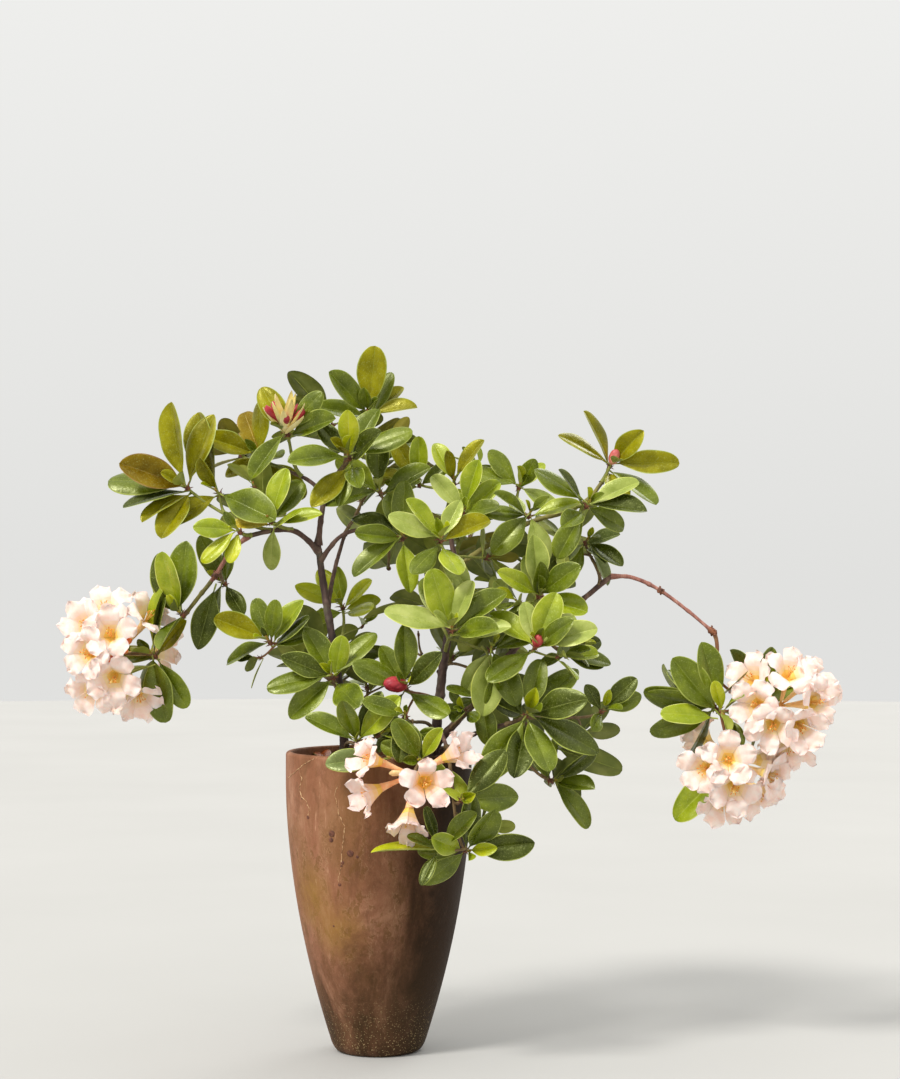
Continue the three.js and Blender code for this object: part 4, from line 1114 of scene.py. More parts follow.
for name, start, end in LATE_TWIGS:
    ends = vector(*start), vector(*end)
    bends = [between(ends, at) - UP * LATE_TWIG["sag"] for at in (LATE_TWIG["bend"], 1 - LATE_TWIG["bend"])]
    line = bezier([ends[0], *bends, ends[1]], LATE_TWIG["steps"])
    by_name[name]["spurs"].append(dict(fine=line, foot=LATE_TWIG["foot"], tip=LATE_TWIG["tip"]))
    by_name[name]["grown"].append(dict(tip=line[-1], axis=unit(line[-1] - line[-2]), spur=True))
for tint, length, foot, aim, face in LATE_LEAVES:
    direction = unit(vector(*aim))
    normal = square_to(vector(*face), direction)
    add_leaf_mesh(make_leaf(vector(*foot), direction, normal, length, LATE_DROOP), tint)

for mass in masses:
    for whorl in mass["grown"][1:] if mass["bud"] else mass["grown"]:
        length = chosen(TIP_BUD["length"]) * (SPUR["smaller"] if "spur" in whorl else 1)
        if not in_a_gap(whorl["tip"]):
            width = TIP_BUD["width"] * length / TIP_BUD["length"][1]
            centre = whorl["tip"] + whorl["axis"] * length * TIP_BUD["out"]
            add_scaly_bud("tip_buds", centre, whorl["axis"], length, width, TIP_BUD["scales"], detail=(4, 5))


# A knot of old bud scales under each whorl

KNOT = dict(
    length=11, width=6.6, scales=7, reach=(4.5, 8.5), radii=np.array([1.2, 0.9, 0.06]) * 0.75, spur=0.62,
    below=7, step=1.2, out=0.36, rise=(0.1, 1.1), bend=0.5,
)

for mass in masses:
    for whorl in mass["grown"]:
        size = KNOT["spur"] if "spur" in whorl else 1
        axis = whorl["axis"]
        across = any_square(axis)
        foot = whorl["tip"] - axis * KNOT["below"] * size
        add_ellipsoid("knots", foot, axis, KNOT["length"] * size, KNOT["width"] * size, 8, 6)
        for k in range(KNOT["scales"]):
            way = turned(across, axis, GOLDEN * k)
            start = foot + axis * size * (k - KNOT["scales"] // 2) * KNOT["step"]
            start = start + way * KNOT["width"] * KNOT["out"] * size
            end = start + unit(way + axis * chosen(KNOT["rise"])) * size * chosen(KNOT["reach"])
            if not in_a_gap(whorl["tip"]):
                line = np.array([start, between((start, end), 0.5) + axis * KNOT["bend"], end])
                add_tube("knots", line, KNOT["radii"] * size, 4)


# Twigs and limbs

TWIG_WOOD = dict(sides=8, node_every=(9, 22), node_size=0.16, node_width=2.2, relief=0.03, foot=0.5, fade=3.5)
LIMB_WOOD = dict(node_every=(16, 44), node_width=2.6, spacing=2.2, foot=0.55, fade=9)
NODE_SIZE = (0.5, 1.3)
RELIEF = dict(waves=16, turns=5, pace=(0.02, 0.55), size=(0.3, 1), fade=2.2)
# Bark of a limb: its sides, the size of its swellings and its relief
BARKS = dict(trunk=(22, 0.13, 0.045), bough=(16, 0.13, 0.035), pink=(16, 0.3, 0.035), green=(16, 0.13, 0.035))
# Young green bark on the lower part of one bough
SLEEVE = dict(limb="bough_left_hanging", top=606, bark="bark_green", thicker=1.07)
# Knuckles on the limbs: where each stands, its width and its length
KNUCKLES = [
    ("bough_arching", 436, 541, 9.5, 15),
    ("bough_arching", 366, 596, 7.6, 12),
    ("bough_left_hanging", -208, 611, 8.6, 13),
]
KNUCKLE = dict(scales=7, out=0.4, rows=9, follow=0.9, reach=2.2, uneven=1.1, radii=(1.7, 1.5, 0.6))


def node_swelling(run, every, size, width):
    """Rings of slightly thicker wood at uneven distances along a twig or limb."""
    swelling = np.zeros(len(run))
    at = chosen(every)
    while at < run[-1]:
        swelling += size * chosen(NODE_SIZE) * np.exp(-(((run - at) / width) ** 2))
        at += chosen(every)
    return swelling


def wood_relief(run, sides, depth):
    """Low swellings and furrows of bark at each point along and round a limb."""
    angles = circle(sides)
    relief = np.zeros((len(run), sides))
    for _ in range(RELIEF["waves"]):
        turns = 1 + math.floor(looks() * RELIEF["turns"])
        pace = chosen(RELIEF["pace"]) * (1 if looks() < 0.5 else -1)
        phase = looks() * TAU
        size = depth * chosen(RELIEF["size"]) / (1 + RELIEF["fade"] * abs(pace))
        relief += size * np.sin(turns * angles[None, :] + pace * run[:, None] + phase)
    return relief


def even_line(limb):
    """A limb's line with its corners cut and even steps, and its radii there."""
    line = limb["line"]
    smooth = cut_corners(cut_corners(line))
    run = distances(smooth)
    steps = np.linspace(0, run[-1], max(3, int(run[-1] / LIMB_WOOD["spacing"])) + 1)
    points = np.stack([np.interp(steps, run, smooth[:, k]) for k in range(3)], axis=1)
    old = distances(line)
    return points, np.interp(steps / run[-1], old / old[-1], limb["radii"])


for mass in masses:
    for twig in mass["twigs"] + mass["spurs"]:
        line = twig["fine"]
        run = distances(line)
        wood = TWIG_WOOD
        radii = between((twig["foot"], twig["tip"]), run / run[-1])
        swelling = node_swelling(run, wood["node_every"], wood["node_size"], wood["node_width"])
        radii = radii * (1 + wood["foot"] * np.exp(-run / wood["fade"])) * (1 + swelling)
        relief = wood_relief(run, wood["sides"], wood["relief"])
        line, radii, relief = rounded_tip(line, radii, relief)
        add_tube(f"twigs_{mass['wood']}", line, radii, wood["sides"], relief)

for name, x, z, width, length in KNUCKLES:
    line, _ = even_line(limbs[name])
    nearest = int(np.argmin(np.hypot(line[:, 0] - x, line[:, 2] - z)))
    nearest = min(max(nearest, 1), len(line) - 2)
    along = unit(line[nearest + 1] - line[nearest - 1])
    add_ellipsoid("knots", line[nearest], along, length, width, 12, 8)
    across = any_square(along)
    for k in range(KNUCKLE["scales"]):
        way = turned(across, along, GOLDEN * k)
        start = line[nearest] + way * width * KNUCKLE["out"]
        start = start + along * (k - KNUCKLE["scales"] // 2) * length / KNUCKLE["rows"]
        reach = KNUCKLE["reach"] + KNUCKLE["uneven"] * math.sin(2.3 * k)
        end = start + unit(way + along * KNUCKLE["follow"]) * reach
        add_tube("knots", [start, between((start, end), 0.5), end], KNUCKLE["radii"], 5)

for name, limb in limbs.items():
    sides, swelling, depth = BARKS[limb["bark"]]
    line, radii = even_line(limb)
    run = distances(line)
    if limb["parent"]:
        radii = radii * (1 + LIMB_WOOD["foot"] * np.exp(-((run / LIMB_WOOD["fade"]) ** 2)))
    radii = radii * (1 + node_swelling(run, LIMB_WOOD["node_every"], swelling, LIMB_WOOD["node_width"]))
    line, radii, relief = rounded_tip(line, radii, wood_relief(run, sides, depth))
    add_tube(f"bark_{limb['bark']}", line, radii, sides, relief)
    if name == SLEEVE["limb"]:
        lower = line[:, 2] < SLEEVE["top"]
        add_tube(SLEEVE["bark"], line[lower], radii[lower] * SLEEVE["thicker"], sides, relief[lower])


# Blossom

PETAL = dict(
    start=4.4, widest=0.66, half=12.9, waist=0.92, frill=2.4, rise=21, sunk=-15, back=5.5, thick=0.28
)
PETAL_ROWS = np.concatenate([np.linspace(0, 0.36, 7), np.linspace(0.44, 1, 10)])
PETAL_COLUMNS = np.linspace(-1, 1, 13)
PETAL_BANDS = ((0, 3, "throat"), (2, 5, "inner"), (4, 7, "middle"), (6, 17, "lobe"))
# The ways in which one petal differs from the next
PETAL_LOOK = dict(
    length=(32.0, 36.5), broad=(0.86, 1.1), square=(1.8, 3.4), notch=(-0.8, 3.0), waves=(3.6, 6.4),
    phase=(0, TAU), back=(-0.4, 1.8), fold=(-3.0, 2.4), twist=(-2.6, 2.6),
)
YOUNG_PETAL = dict(shorter=0.2, rise=6, back=1.7)
TUBE = dict(rows=14, sides=20, stalk=8, start=1.6, foot=2.3, middle=3.7, mouth=5.6, ribs=0.05, cup=11)
STAMENS = dict(count=6, foot=12, out=(2, 10), spread=(2.0, 6.5), anther=(3.2, 1.5))
# Sizes of the flowers: of the front truss, and of those that face the front or the back
FLOWER_SIZES = dict(truss=0.97, front=1.08, back=0.94)
# Each truss: its shade, and how far a flower is turned back from the front to its own direction
BLOOMS = dict(left_bloom=("cream", 0.1), front_bloom=("peach", 0.55), right_bloom=("cream", 0.1))
# Closed tubular buds among the flowers: the truss, the way they point, their length and piece
CLOSED_BUDS = [
    ("left_bloom", (0.44, -0.84, 0.46), 50, "closed_buds"),
    ("left_bloom", (0.34, -0.94, 0.16), 50, "closed_buds"),
    ("left_bloom", (-0.95, -0.75, -0.25), 34, "closed_buds"),
    ("left_bloom", (-0.9, -0.8, -0.6), 30, "closed_buds"),
    ("left_bloom", (0.3, -0.9, -0.7), 26, "closed_buds"),
    ("right_bloom", (-0.5, -0.9, -0.5), 28, "closed_buds"),
    ("front_bloom", (-0.8, -0.6, 0.2), 34, "tubes_cream"),
]
CLOSED_SHAPE = ([0, 0.35, 0.42, 0.75, 0.93, 1], [1.3, 1.5, 3.0, 3.6, 3.8, 2.2])


def petal_grid(centre, facing, out, side, look, raised):
    """One lobe: it widens out of the funnel, spreads and curls back a little, with a frilled edge."""
    u = PETAL_ROWS[:, None]
    v = PETAL_COLUMNS[None, :]
    reach = PETAL["start"] + (look["length"] - PETAL["start"]) * u
    joined = reach * math.tan(math.pi / 5) * 1.03
    opened = np.sin(np.clip(u / PETAL["widest"], 0, 1) * math.pi / 2) ** 2
    swell = PETAL["waist"] + (1 - PETAL["waist"]) * opened
    past = np.clip((u - PETAL["widest"]) / (1 - PETAL["widest"]), 0, 1)
    round_end = (1 - past ** look["square"]) ** 0.5
    half = np.minimum(joined, PETAL["half"] * look["broad"] * swell * np.maximum(round_end, 0.03))
    edge = np.abs(v) ** 2 * np.clip((u - 0.3) / 0.7, 0, 1)
    crinkle = np.sin(look["waves"] * 2.6 * u + look["phase"] + (v > 0) * 2.1)
    tip = np.sin(look["waves"] * 1.25 * v + look["phase"] * 1.7)
    frill = PETAL["frill"] * (1.5 * edge * crinkle + u**5 * tip)
    ragged = 1 + 0.08 * edge * np.sin(look["waves"] * 4.1 * u + look["phase"] * 2.3)
    reach = reach - look["notch"] * np.exp(-((v / 0.28) ** 2)) * u**6 + 0.7 * u**5 * tip
    rise = PETAL["sunk"] + look["rise"] * np.sin(np.clip(u / 0.62, 0, 1) * math.pi / 2)
    spread = rise - PETAL["back"] * look["back"] * np.clip((u - 0.35) / 0.65, 0, 1) ** 2
    furrow = -0.8 * np.exp(-((v / 0.2) ** 2)) * np.sin(u * math.pi) + look["fold"] * v**2 * u
    overlap = 0.9 * v * np.clip(u * 2, 0, 1) + look["twist"] * v * u**2
    height = spread + frill + furrow + overlap + raised
    along_side = side * (half * v * ragged)[..., None]
    return centre + out * reach[..., None] + along_side + facing * height[..., None]


def add_petals(flower, shade):
    """Five lobes round the mouth; a younger flower is less open."""
    facing = flower["facing"]
    young = flower["young"]
    across, up = square_pair(facing)
    edge = (1 - np.abs(PETAL_COLUMNS)[None, :] ** 8) * (1 - PETAL_ROWS[:, None] ** 10)
    for k in range(5):
        angle = flower["turn"] + TAU * k / 5 + chosen((-0.07, 0.07))
        out = across * math.cos(angle) + up * math.sin(angle)
        look = {key: chosen(limits) for key, limits in PETAL_LOOK.items()}
        look["length"] = look["length"] * flower["size"] * (1 - YOUNG_PETAL["shorter"] * young)
        look["broad"] *= flower["size"]
        look["rise"] = PETAL["rise"] + YOUNG_PETAL["rise"] * young
        look["back"] -= YOUNG_PETAL["back"] * young
        side = np.cross(facing, out)
        for sign in (1, -1):
            grid = petal_grid(flower["mouth"], facing, out, side, look, sign * PETAL["thick"] * edge)
            for first, last, band in PETAL_BANDS:
                add_grid(f"petals_{shade}_{band}", grid[first:last], flip=sign < 0)


def add_flower_tube(flower, shade):
    """The tube bends from its stalk to the way the flower faces; a shallow cup closes it inside, in a light
    yellow that paints the glow of light through the petals.
    """
    hub, mouth, facing, direction = (flower[key] for key in ("hub", "mouth", "facing", "direction"))
    stalk = hub + direction * TUBE["stalk"]
    end = mouth + facing * (PETAL["sunk"] + 0.4)
    reach = np.linalg.norm(end - stalk)
    corners = [stalk, stalk + direction * reach * 0.45, end - facing * reach * 0.35, end]
    line = bezier(corners, TUBE["rows"] - 1)
    shares = np.linspace(0, 1, TUBE["rows"])
    radii = between((TUBE["foot"], TUBE["middle"]), shares)
    radii = radii + (TUBE["mouth"] - TUBE["middle"]) * shares**2.6
    radii[0] = TUBE["start"]
    ribs = TUBE["ribs"] * np.cos(5 * circle(TUBE["sides"]))[None, :] * shares[:, None]
    add_tube(f"tubes_{shade}", line, radii, TUBE["sides"], ribs)
    inside = slice(TUBE["cup"], None)
    closing = np.ones(len(line[inside]))
    closing[:2] = 0.05, 0.75
    add_tube("throats", line[inside], (radii[inside] - 0.4) * closing, TUBE["sides"], ribs[inside])
    pedicel = bezier([hub, hub + direction * 5, stalk, stalk], 6)
    add_tube("pedicels", pedicel, np.linspace(1.35, 1.7, 7), 8)


def add_stamens(flower):
    """Thin stamens and a style lean out of the mouth to the upper side, with brown tips."""
    mouth, facing = flower["mouth"], flower["facing"]
    across, up = square_pair(facing)
    for k in range(STAMENS["count"]):
        angle = TAU * (k + 0.3 * looks()) / STAMENS["count"]
        way = across * math.cos(angle) + up * math.sin(angle)
        start = mouth - facing * STAMENS["foot"] + way * 1.2
        spread = chosen(STAMENS["spread"])
        tip = mouth + facing * chosen(STAMENS["out"]) + way * spread
        line = bezier([start, start + facing * 9, tip - facing * 4, tip], 8)
        add_tube("filaments", line, np.linspace(0.5, 0.36, 9), 5)
        aim = unit(way + facing * chosen((-0.4, 0.8)))
        add_ellipsoid("anthers", tip, aim, *STAMENS["anther"], sides=7, rows=5)
    tip = mouth + facing * 10 + up * 2
    line = bezier([mouth - facing * STAMENS["foot"], mouth, tip - facing * 6, tip], 8)
    add_tube("styles", line, np.linspace(0.7, 0.6, 9), 6)
    add_ellipsoid("styles", tip, facing, 1.8, 2.6, sides=8, rows=5)


for mass in masses:
    front = mass["name"] == "front_bloom"
    for flower in mass["flowers"]:
        shade, turned_back = BLOOMS[mass["name"]]
        flower["facing"] = unit(between((flower["facing"], flower["direction"]), turned_back))
        kind = "truss" if front else "front" if flower["facing"][1] < 0 else "back"
        flower["size"] = FLOWER_SIZES[kind]
        flower["young"] = float(flower["facing"][1] > -0.8) if front else looks() ** 2
        add_petals(flower, shade)
        add_flower_tube(flower, shade)
        add_stamens(flower)
    for hub in mass["hubs"]:
        add_ellipsoid("pedicels", hub, UP, 9, 8)

shares = np.linspace(0, 1, 12)
for name, aim, length, piece in CLOSED_BUDS:
    direction = unit(vector(*aim))
    hub = by_name[name]["hubs"][0]
    line = np.array([hub + direction * length * share for share in np.linspace(0.1, 1, len(shares))])
    line[:, 2] -= 3.0 * shares**2
    line, radii = rounded_tip(line, np.interp(shares, *CLOSED_SHAPE))
    add_tube(piece, line, radii, 12)


# Scaly buds

OPENING = dict(bracts=11, length=(40, 58), width=(13, 20), lean=(6, 36), blossoms=5, reach=(26, 38))
OPENING_SHAPE = ([0, 0.3, 0.7, 0.9, 1], [1.6, 3.2, 5.0, 3.8, 1.4])
BUD_LOOKS = dict(low_bud=("buds_red", 26), right_bud=("buds_red", 18), top_right=("buds_pink", 16))


def add_opening_bud(egg):
    """A large bud that opens: thin pale bracts that stand loosely round red blossoms."""
    aim = egg["aim"]
    across = any_square(aim)
    foot = egg["centre"] - aim * egg["length"] * 0.45
    rows = np.linspace(0, 1, 11)[:, None]
    columns = np.linspace(-1, 1, 7)[None, :]
    outline = np.sin(np.clip(rows * 0.93 + 0.07, 0, 1) * math.pi) ** 0.6 * (1 - 0.25 * rows)
    bulge = 5.5 * np.sin(rows * math.pi * 0.8) + 2.5 * rows**3 - 5.0 * (columns * outline) ** 2
    crease = 0.5 * np.cos(3 * math.pi * columns) * rows
    for i in range(OPENING["bracts"]):
        way = turned(across, aim, GOLDEN * i + 0.4)
        lean = math.radians(between(OPENING["lean"], (i + looks()) / OPENING["bracts"]))
        along = unit(aim * math.cos(lean) + way * math.sin(lean))
        side = unit(np.cross(along, way))
        out = np.cross(side, along)
        length = between(OPENING["length"], 1 - 0.7 * i / OPENING["bracts"] - 0.3 * looks())
        width = chosen(OPENING["width"])
        for sign in (1, -1):
            lift = bulge + crease + sign * 0.12 + i * 0.25
            flat = foot + along * (rows * length)[..., None]
            flat = flat + side * (columns * outline * width / 2)[..., None]
            add_grid("buds_green", flat + out * lift[..., None], flip=sign < 0)
    for i in range(OPENING["blossoms"]):
        way = turned(across, aim, GOLDEN * i)
        start = foot + aim * 8
        end = start + unit(aim + way * 0.9) * chosen(OPENING["reach"])
        line = bezier([start, between((start, end), 0.4), end - aim * 6, end], 9)
        line, radii = rounded_tip(line, np.interp(np.linspace(0, 1, 10), *OPENING_SHAPE))
        add_tube("buds_red", line, radii, 12)


for mass in masses:
    if not mass["bud"]:
        continue
    egg = mass_eggs(mass)[-1]
    if mass["name"] not in BUD_LOOKS:
        add_opening_bud(egg)
        continue
    piece, scales = BUD_LOOKS[mass["name"]]
    add_scaly_bud(piece, egg["centre"], egg["aim"], egg["length"], egg["width"], scales, spread=0.8)
    foot = mass["whorls"][0]["tip"]
    add_tube(piece, [foot, between((foot, egg["centre"]), 0.5), egg["centre"]], [2.4, 2.4, 2.0], 8)


# Pot and soil

POT_SHAPE = dict(sides=180, rows=60, middle=0.5, rounding=4.5, inner_rounding=3, inside=1.5)
# The rounded foot by distance from the foot's radius and by height
POT_FOOT = [(-2, 0), (0, 0.2), (2.8, 1), (5.3, 2.6), (7.4, 5), (9.2, 8.2)]
# Dark spots on the pot's side by angle, height and radius
POT_SPOTS = [
    (-28, 290, 4.4), (-28.6, 282, 3.3), (-15.9, 266.5, 4.6), (-11.4, 262, 2.0), (-31.7, 172, 1.5),
    (-46.5, 308, 2.6), (-21.4, 254, 2.4), (-22.2, 250, 1.7), (-24.2, 226, 2.4), (-52, 331, 1.4),
    (38, 246, 1.8), (-150, 240, 2.4), (150, 300, 3.0), (118, 190, 2.0),
]
# Fine dried roots that cling to the clay, by angle and height
POT_ROOTS = [
    [(-71, 354), (-60, 363), (-49, 375), (-40, 383)],
    [(-55, 367), (-52, 357), (-54.5, 341), (-52, 333), (-47, 327), (-45, 318), (-46.5, 309)],
    [(-23.2, 351), (-25, 340), (-24.4, 329), (-22, 313), (-19.3, 299), (-19.4, 288), (-21.2, 276),
     (-21.3, 260), (-22.9, 247), (-24.8, 232), (-24.5, 225)],
    [(140, 372), (146, 350), (143, 322), (149, 300)],
    [(-128, 360), (-124, 330), (-127, 308)],
]
ON_POT = 0.1
SOIL = dict(radius=112.5, rings=40, sides=120, chips=420, grains=90, near_edge=0.95, uneven=0.35)
CHIP = np.array([
    (-1, -1, -1), (1, -1, -1), (1, 1, -1), (-1, 1, -1), (-1, -1, 1), (1, -1, 1), (1, 1, 1), (-1, 1, 1)
])
CHIP_FACES = np.array([(0, 3, 2, 1), (4, 5, 6, 7), (0, 1, 5, 4), (1, 2, 6, 5), (2, 3, 7, 6), (3, 0, 4, 7)])
CHIP_SIZES = ((5, 15), (3.5, 9), (1.2, 3.2))
GRAIN_SIZES = ((1.4, 3.4), (1.4, 3), (1.2, 2.6))
# Fallen leaves on the soil: place, direction, length and tint
FALLEN = [
    ((-46, -62, 372), (0.9, -0.35, 0.12), 62, "dead"),
    ((-8, -88, 371), (-0.75, -0.5, 0.1), 54, "yellow"),
    ((30, 62, 371), (0.6, 0.7, 0.05), 66, "dead"),
    ((-70, 38, 371), (-0.2, 0.95, 0.08), 58, "dead"),
    ((58, -38, 371), (0.35, -0.9, 0.1), 50, "brown"),
]
FALLEN_DROOP = -0.08
chance = seeded(417)


def arc(centre_radius, centre_z, radius, first, last, count):
    """Points of a round edge in a profile, by angles in degrees."""
    angles = np.radians(np.linspace(first, last, count))
    return [(centre_radius + radius * math.cos(a), centre_z + radius * math.sin(a)) for a in angles]


def pot_profile():
    """The pot's outline from the middle of its underside, round the rim and down to the soil."""
    outer = [(POT_SHAPE["middle"], 0)] + [(POT["foot"] + out, up) for out, up in POT_FOOT]
    outer += [(float(pot_radius(z)), z) for z in np.linspace(12, POT["flare_height"], POT_SHAPE["rows"])]
    top = POT["height"]
    rounding = POT_SHAPE["rounding"]
    outer.append((POT["rim"], top - rounding * 2.4))
    outer += arc(POT["rim"] - rounding, top - rounding, rounding, 0, 90, 7)
    inner = POT_SHAPE["inner_rounding"]
    inside = POT["rim"] - POT["wall"] + POT_SHAPE["inside"]
    outer += arc(inside + inner, top - inner, inner, 90, 180, 5)
    return np.array(outer + [(inside, top - 8), (inside - 1, SOIL_TOP - 12)])


def on_pot(angle, z):
    """A point just off the pot's side: the angle in degrees from the front, positive to the right."""
    a = math.radians(angle)
    radius = float(pot_radius(z)) + ON_POT
    return vector(radius * math.sin(a), -radius * math.cos(a), z)


def soil_height(x, y):
    """The unevenness of the potting mix, which lies a little lower towards the wall."""
    low = 2.2 * np.sin(x * 0.061 + 1.1) * np.sin(y * 0.073 - 0.4) + 1.3 * np.sin(x * 0.17 + y * 0.13)
    fine = 0.7 * np.sin(x * 0.43 - y * 0.31) + 0.45 * np.sin(x * 0.91 + 0.5) * np.sin(y * 0.83)
    return SOIL_TOP - 1.5 + low + fine - 3.0 * (np.hypot(x, y) / SOIL["radius"]) ** 4


def add_chip(name, sizes):
    """A bark chip or grain: a box with uneven corners that lies on the soil."""
    angle = chance() * TAU
    distance = SOIL["radius"] * SOIL["near_edge"] * math.sqrt(chance())
    x, y = distance * math.cos(angle), distance * math.sin(angle)
    corners = CHIP * np.array([between(limits, chance()) / 2 for limits in sizes])
    corners = corners * (1 + SOIL["uneven"] * (np.array([chance() for _ in range(24)]).reshape(8, 3) - 0.5))
    for axis, limit in ((UP, math.pi), (vector(1, 0, 0), 0.5), (vector(0, 1, 0), 0.5)):
        turn = limit * (2 * chance() - 1)
        corners = np.array([turned(corner, axis, turn) for corner in corners])
    height = soil_height(x, y) + between((0.2, 1.6), chance())
    add_faces(name, corners + vector(x, y, height), CHIP_FACES)


profile = pot_profile()
out, up = profile[:, :1], profile[:, 1:]
around = circle(POT_SHAPE["sides"])
waver = 1 + 0.0016 * np.sin(3 * around + 0.7) + 0.0009 * np.sin(7 * around + up * 0.02)
rings = (out * np.cos(around) * waver, out * np.sin(around) * waver, up * np.ones(len(around)))
add_grid("pot_glaze", np.stack(rings, axis=-1), closed=True, flip=True)

for angle, z, size in POT_SPOTS:
    centre = on_pot(angle, z)
    add_ellipsoid("pot_spots", centre, unit(vector(centre[0], centre[1], 0)), 1.0, size * 2, sides=14, rows=7)
share = np.linspace(0, 1, 60)
for root in POT_ROOTS:
    angles, heights = np.array(root, dtype=float).T
    sway = 0.35 * np.sin(share * 31 + angles[0]) + 0.2 * np.sin(share * 83)
    thickness = 0.3 + 0.28 * np.sin(share * math.pi) + 0.14 * np.sin(share * 47)
    steps = np.linspace(0, 1, len(angles))
    places = zip(np.interp(share, steps, angles) + sway, np.interp(share, steps, heights))
    add_tube("pot_roots", [on_pot(angle, z) for angle, z in places], thickness, 6)

distance = np.linspace(0.004, 1, SOIL["rings"])[:, None] * SOIL["radius"]
x = distance * np.cos(circle(SOIL["sides"]))
y = distance * np.sin(circle(SOIL["sides"]))
add_grid("soil_mix", np.stack([x, y, soil_height(x, y)], axis=-1), closed=True)
for i in range(SOIL["chips"]):
    add_chip("bark_chips" if i % 3 else "bark_chips_pale", CHIP_SIZES)
for _ in range(SOIL["grains"]):
    add_chip("soil_grains", GRAIN_SIZES)

for foot, aim, length, tint in FALLEN:
    direction = unit(vector(*aim))
    normal = turned(square_to(UP, direction), direction, 0.35 * (looks() - 0.5))
    add_leaf_mesh(make_leaf(vector(*foot), direction, normal, length, FALLEN_DROOP), tint)


# Materials of the pieces

# Shades of each mottled piece, the scale of its pattern, its roughness and, if not the usual, its relief
MOTTLED = dict(
    undersides_green=(((92, 102, 32), (110, 118, 44), (130, 136, 62)), 40, (0.5, 0.66)),
    undersides_pale=(((128, 140, 40), (148, 156, 54), (168, 172, 76)), 40, (0.5, 0.66)),
    undersides_olive=(((112, 106, 16), (130, 122, 26), (148, 138, 42)), 40, (0.5, 0.66)),
    margins_green=(((130, 142, 44), (148, 158, 62), (166, 174, 84)), 90, (0.4, 0.55)),
    margins_pale=(((178, 186, 70), (192, 198, 92), (204, 208, 118)), 90, (0.4, 0.55)),
    margins_brown=(((120, 88, 34), (140, 108, 48), (158, 130, 66)), 90, (0.4, 0.55)),
    ribs_green=(((118, 130, 34), (140, 150, 54), (160, 166, 78)), 120, (0.45, 0.6)),
    ribs_pale=(((160, 170, 60), (180, 188, 84), (196, 202, 112)), 120, (0.45, 0.6)),
    ribs_red=(((128, 92, 56), (146, 106, 66), (150, 128, 80)), 120, (0.45, 0.6)),
    tip_buds=(((150, 140, 42), (176, 158, 58), (176, 112, 56)), 110, (0.45, 0.6)),
    knots=(((74, 46, 34), (112, 66, 44), (150, 92, 58)), 160, (0.6, 0.8)),
    pedicels=(((196, 158, 84), (222, 176, 104), (236, 190, 122)), 150, (0.5, 0.6)),
    filaments=(((248, 178, 90), (250, 196, 114), (252, 212, 144)), 150, (0.45, 0.55)),
    anthers=(((214, 112, 30), (232, 138, 42), (244, 164, 66)), 300, (0.6, 0.75)),
    styles=(((226, 186, 100), (236, 200, 120), (220, 198, 104)), 200, (0.35, 0.5)),
    buds_red=(((134, 26, 40), (172, 40, 54), (198, 78, 76)), 60, (0.4, 0.55)),
    buds_pink=(((196, 88, 88), (222, 120, 112), (234, 156, 132)), 60, (0.4, 0.55)),
    buds_green=(((226, 208, 122), (242, 224, 150), (250, 236, 190)), 50, (0.45, 0.6)),
    pot_spots=(((74, 38, 24), (92, 50, 32), (112, 66, 44)), 300, (0.6, 0.8)),
    pot_roots=(((110, 72, 44), (176, 134, 92), (226, 192, 146)), 260, (0.6, 0.8)),
    soil_mix=(((24, 17, 12), (46, 33, 23), (78, 58, 42)), 120, (0.85, 0.98), 700, 0.9, 0.003),
    bark_chips=(((44, 28, 20), (74, 48, 34), (104, 72, 50)), 120, (0.75, 0.9), 900, 0.7, 0.001),
    bark_chips_pale=(((98, 72, 50), (128, 98, 70), (152, 122, 90)), 120, (0.75, 0.9), 900, 0.7, 0.001),
    soil_grains=(((176, 168, 150), (206, 200, 184), (222, 218, 206)), 200, (0.8, 0.95)),
)
TWIG_STREAKS = (200, 200, 60)
SHOOT_STREAKS = (120, 120, 40)
# Shades of each kind of wood and, if not the usual, the scale of its streaks and its moss
WOODS = dict(
    twigs_green=(((112, 120, 46), (138, 142, 62), (158, 156, 84)), TWIG_STREAKS),
    twigs_red=(((112, 70, 44), (138, 92, 60), (150, 118, 78)), TWIG_STREAKS),
    twigs_brown=(((92, 72, 48), (120, 96, 62), (140, 122, 82)), TWIG_STREAKS),
    bark_trunk=(((38, 26, 24), (72, 52, 46), (122, 98, 86)), (90, 90, 22), 0.3),
    bark_bough=(((56, 38, 34), (94, 68, 58), (142, 112, 96)), (90, 90, 22), 0.15),
    bark_pink=(((112, 64, 54), (158, 104, 90), (200, 154, 138)), SHOOT_STREAKS),
    bark_green=(((98, 90, 44), (130, 122, 58), (156, 146, 80)), SHOOT_STREAKS),
)
# Deep, middle and light shade of each petal or tube
PETAL_SHADES = dict(
    petals_cream_lobe=((245, 207, 194), (250, 221, 210), (252, 233, 225)),
    petals_cream_middle=((245, 208, 184), (250, 220, 199), (252, 230, 213)),
    petals_cream_inner=((248, 216, 168), (251, 226, 182), (252, 232, 196)),
    petals_cream_throat=((250, 204, 104), (252, 214, 124), (253, 224, 146)),
    petals_peach_lobe=((244, 203, 190), (250, 216, 205), (252, 228, 219)),
    petals_peach_middle=((246, 194, 164), (250, 206, 180), (252, 214, 190)),
    petals_peach_inner=((246, 190, 134), (248, 200, 148), (250, 208, 160)),
    petals_peach_throat=((248, 186, 72), (250, 198, 92), (252, 208, 114)),
    tubes_cream=((248, 204, 138), (251, 218, 160), (253, 228, 180)),
    tubes_peach=((244, 160, 104), (250, 184, 130), (252, 206, 160)),
    # The throats' cup: the flower's own yellow, made lighter to paint the glow of light through the petals
    throats=((252, 200, 84), (253, 212, 108), (254, 222, 130)),
    closed_buds=((214, 96, 48), (234, 128, 66), (244, 160, 92)),
)


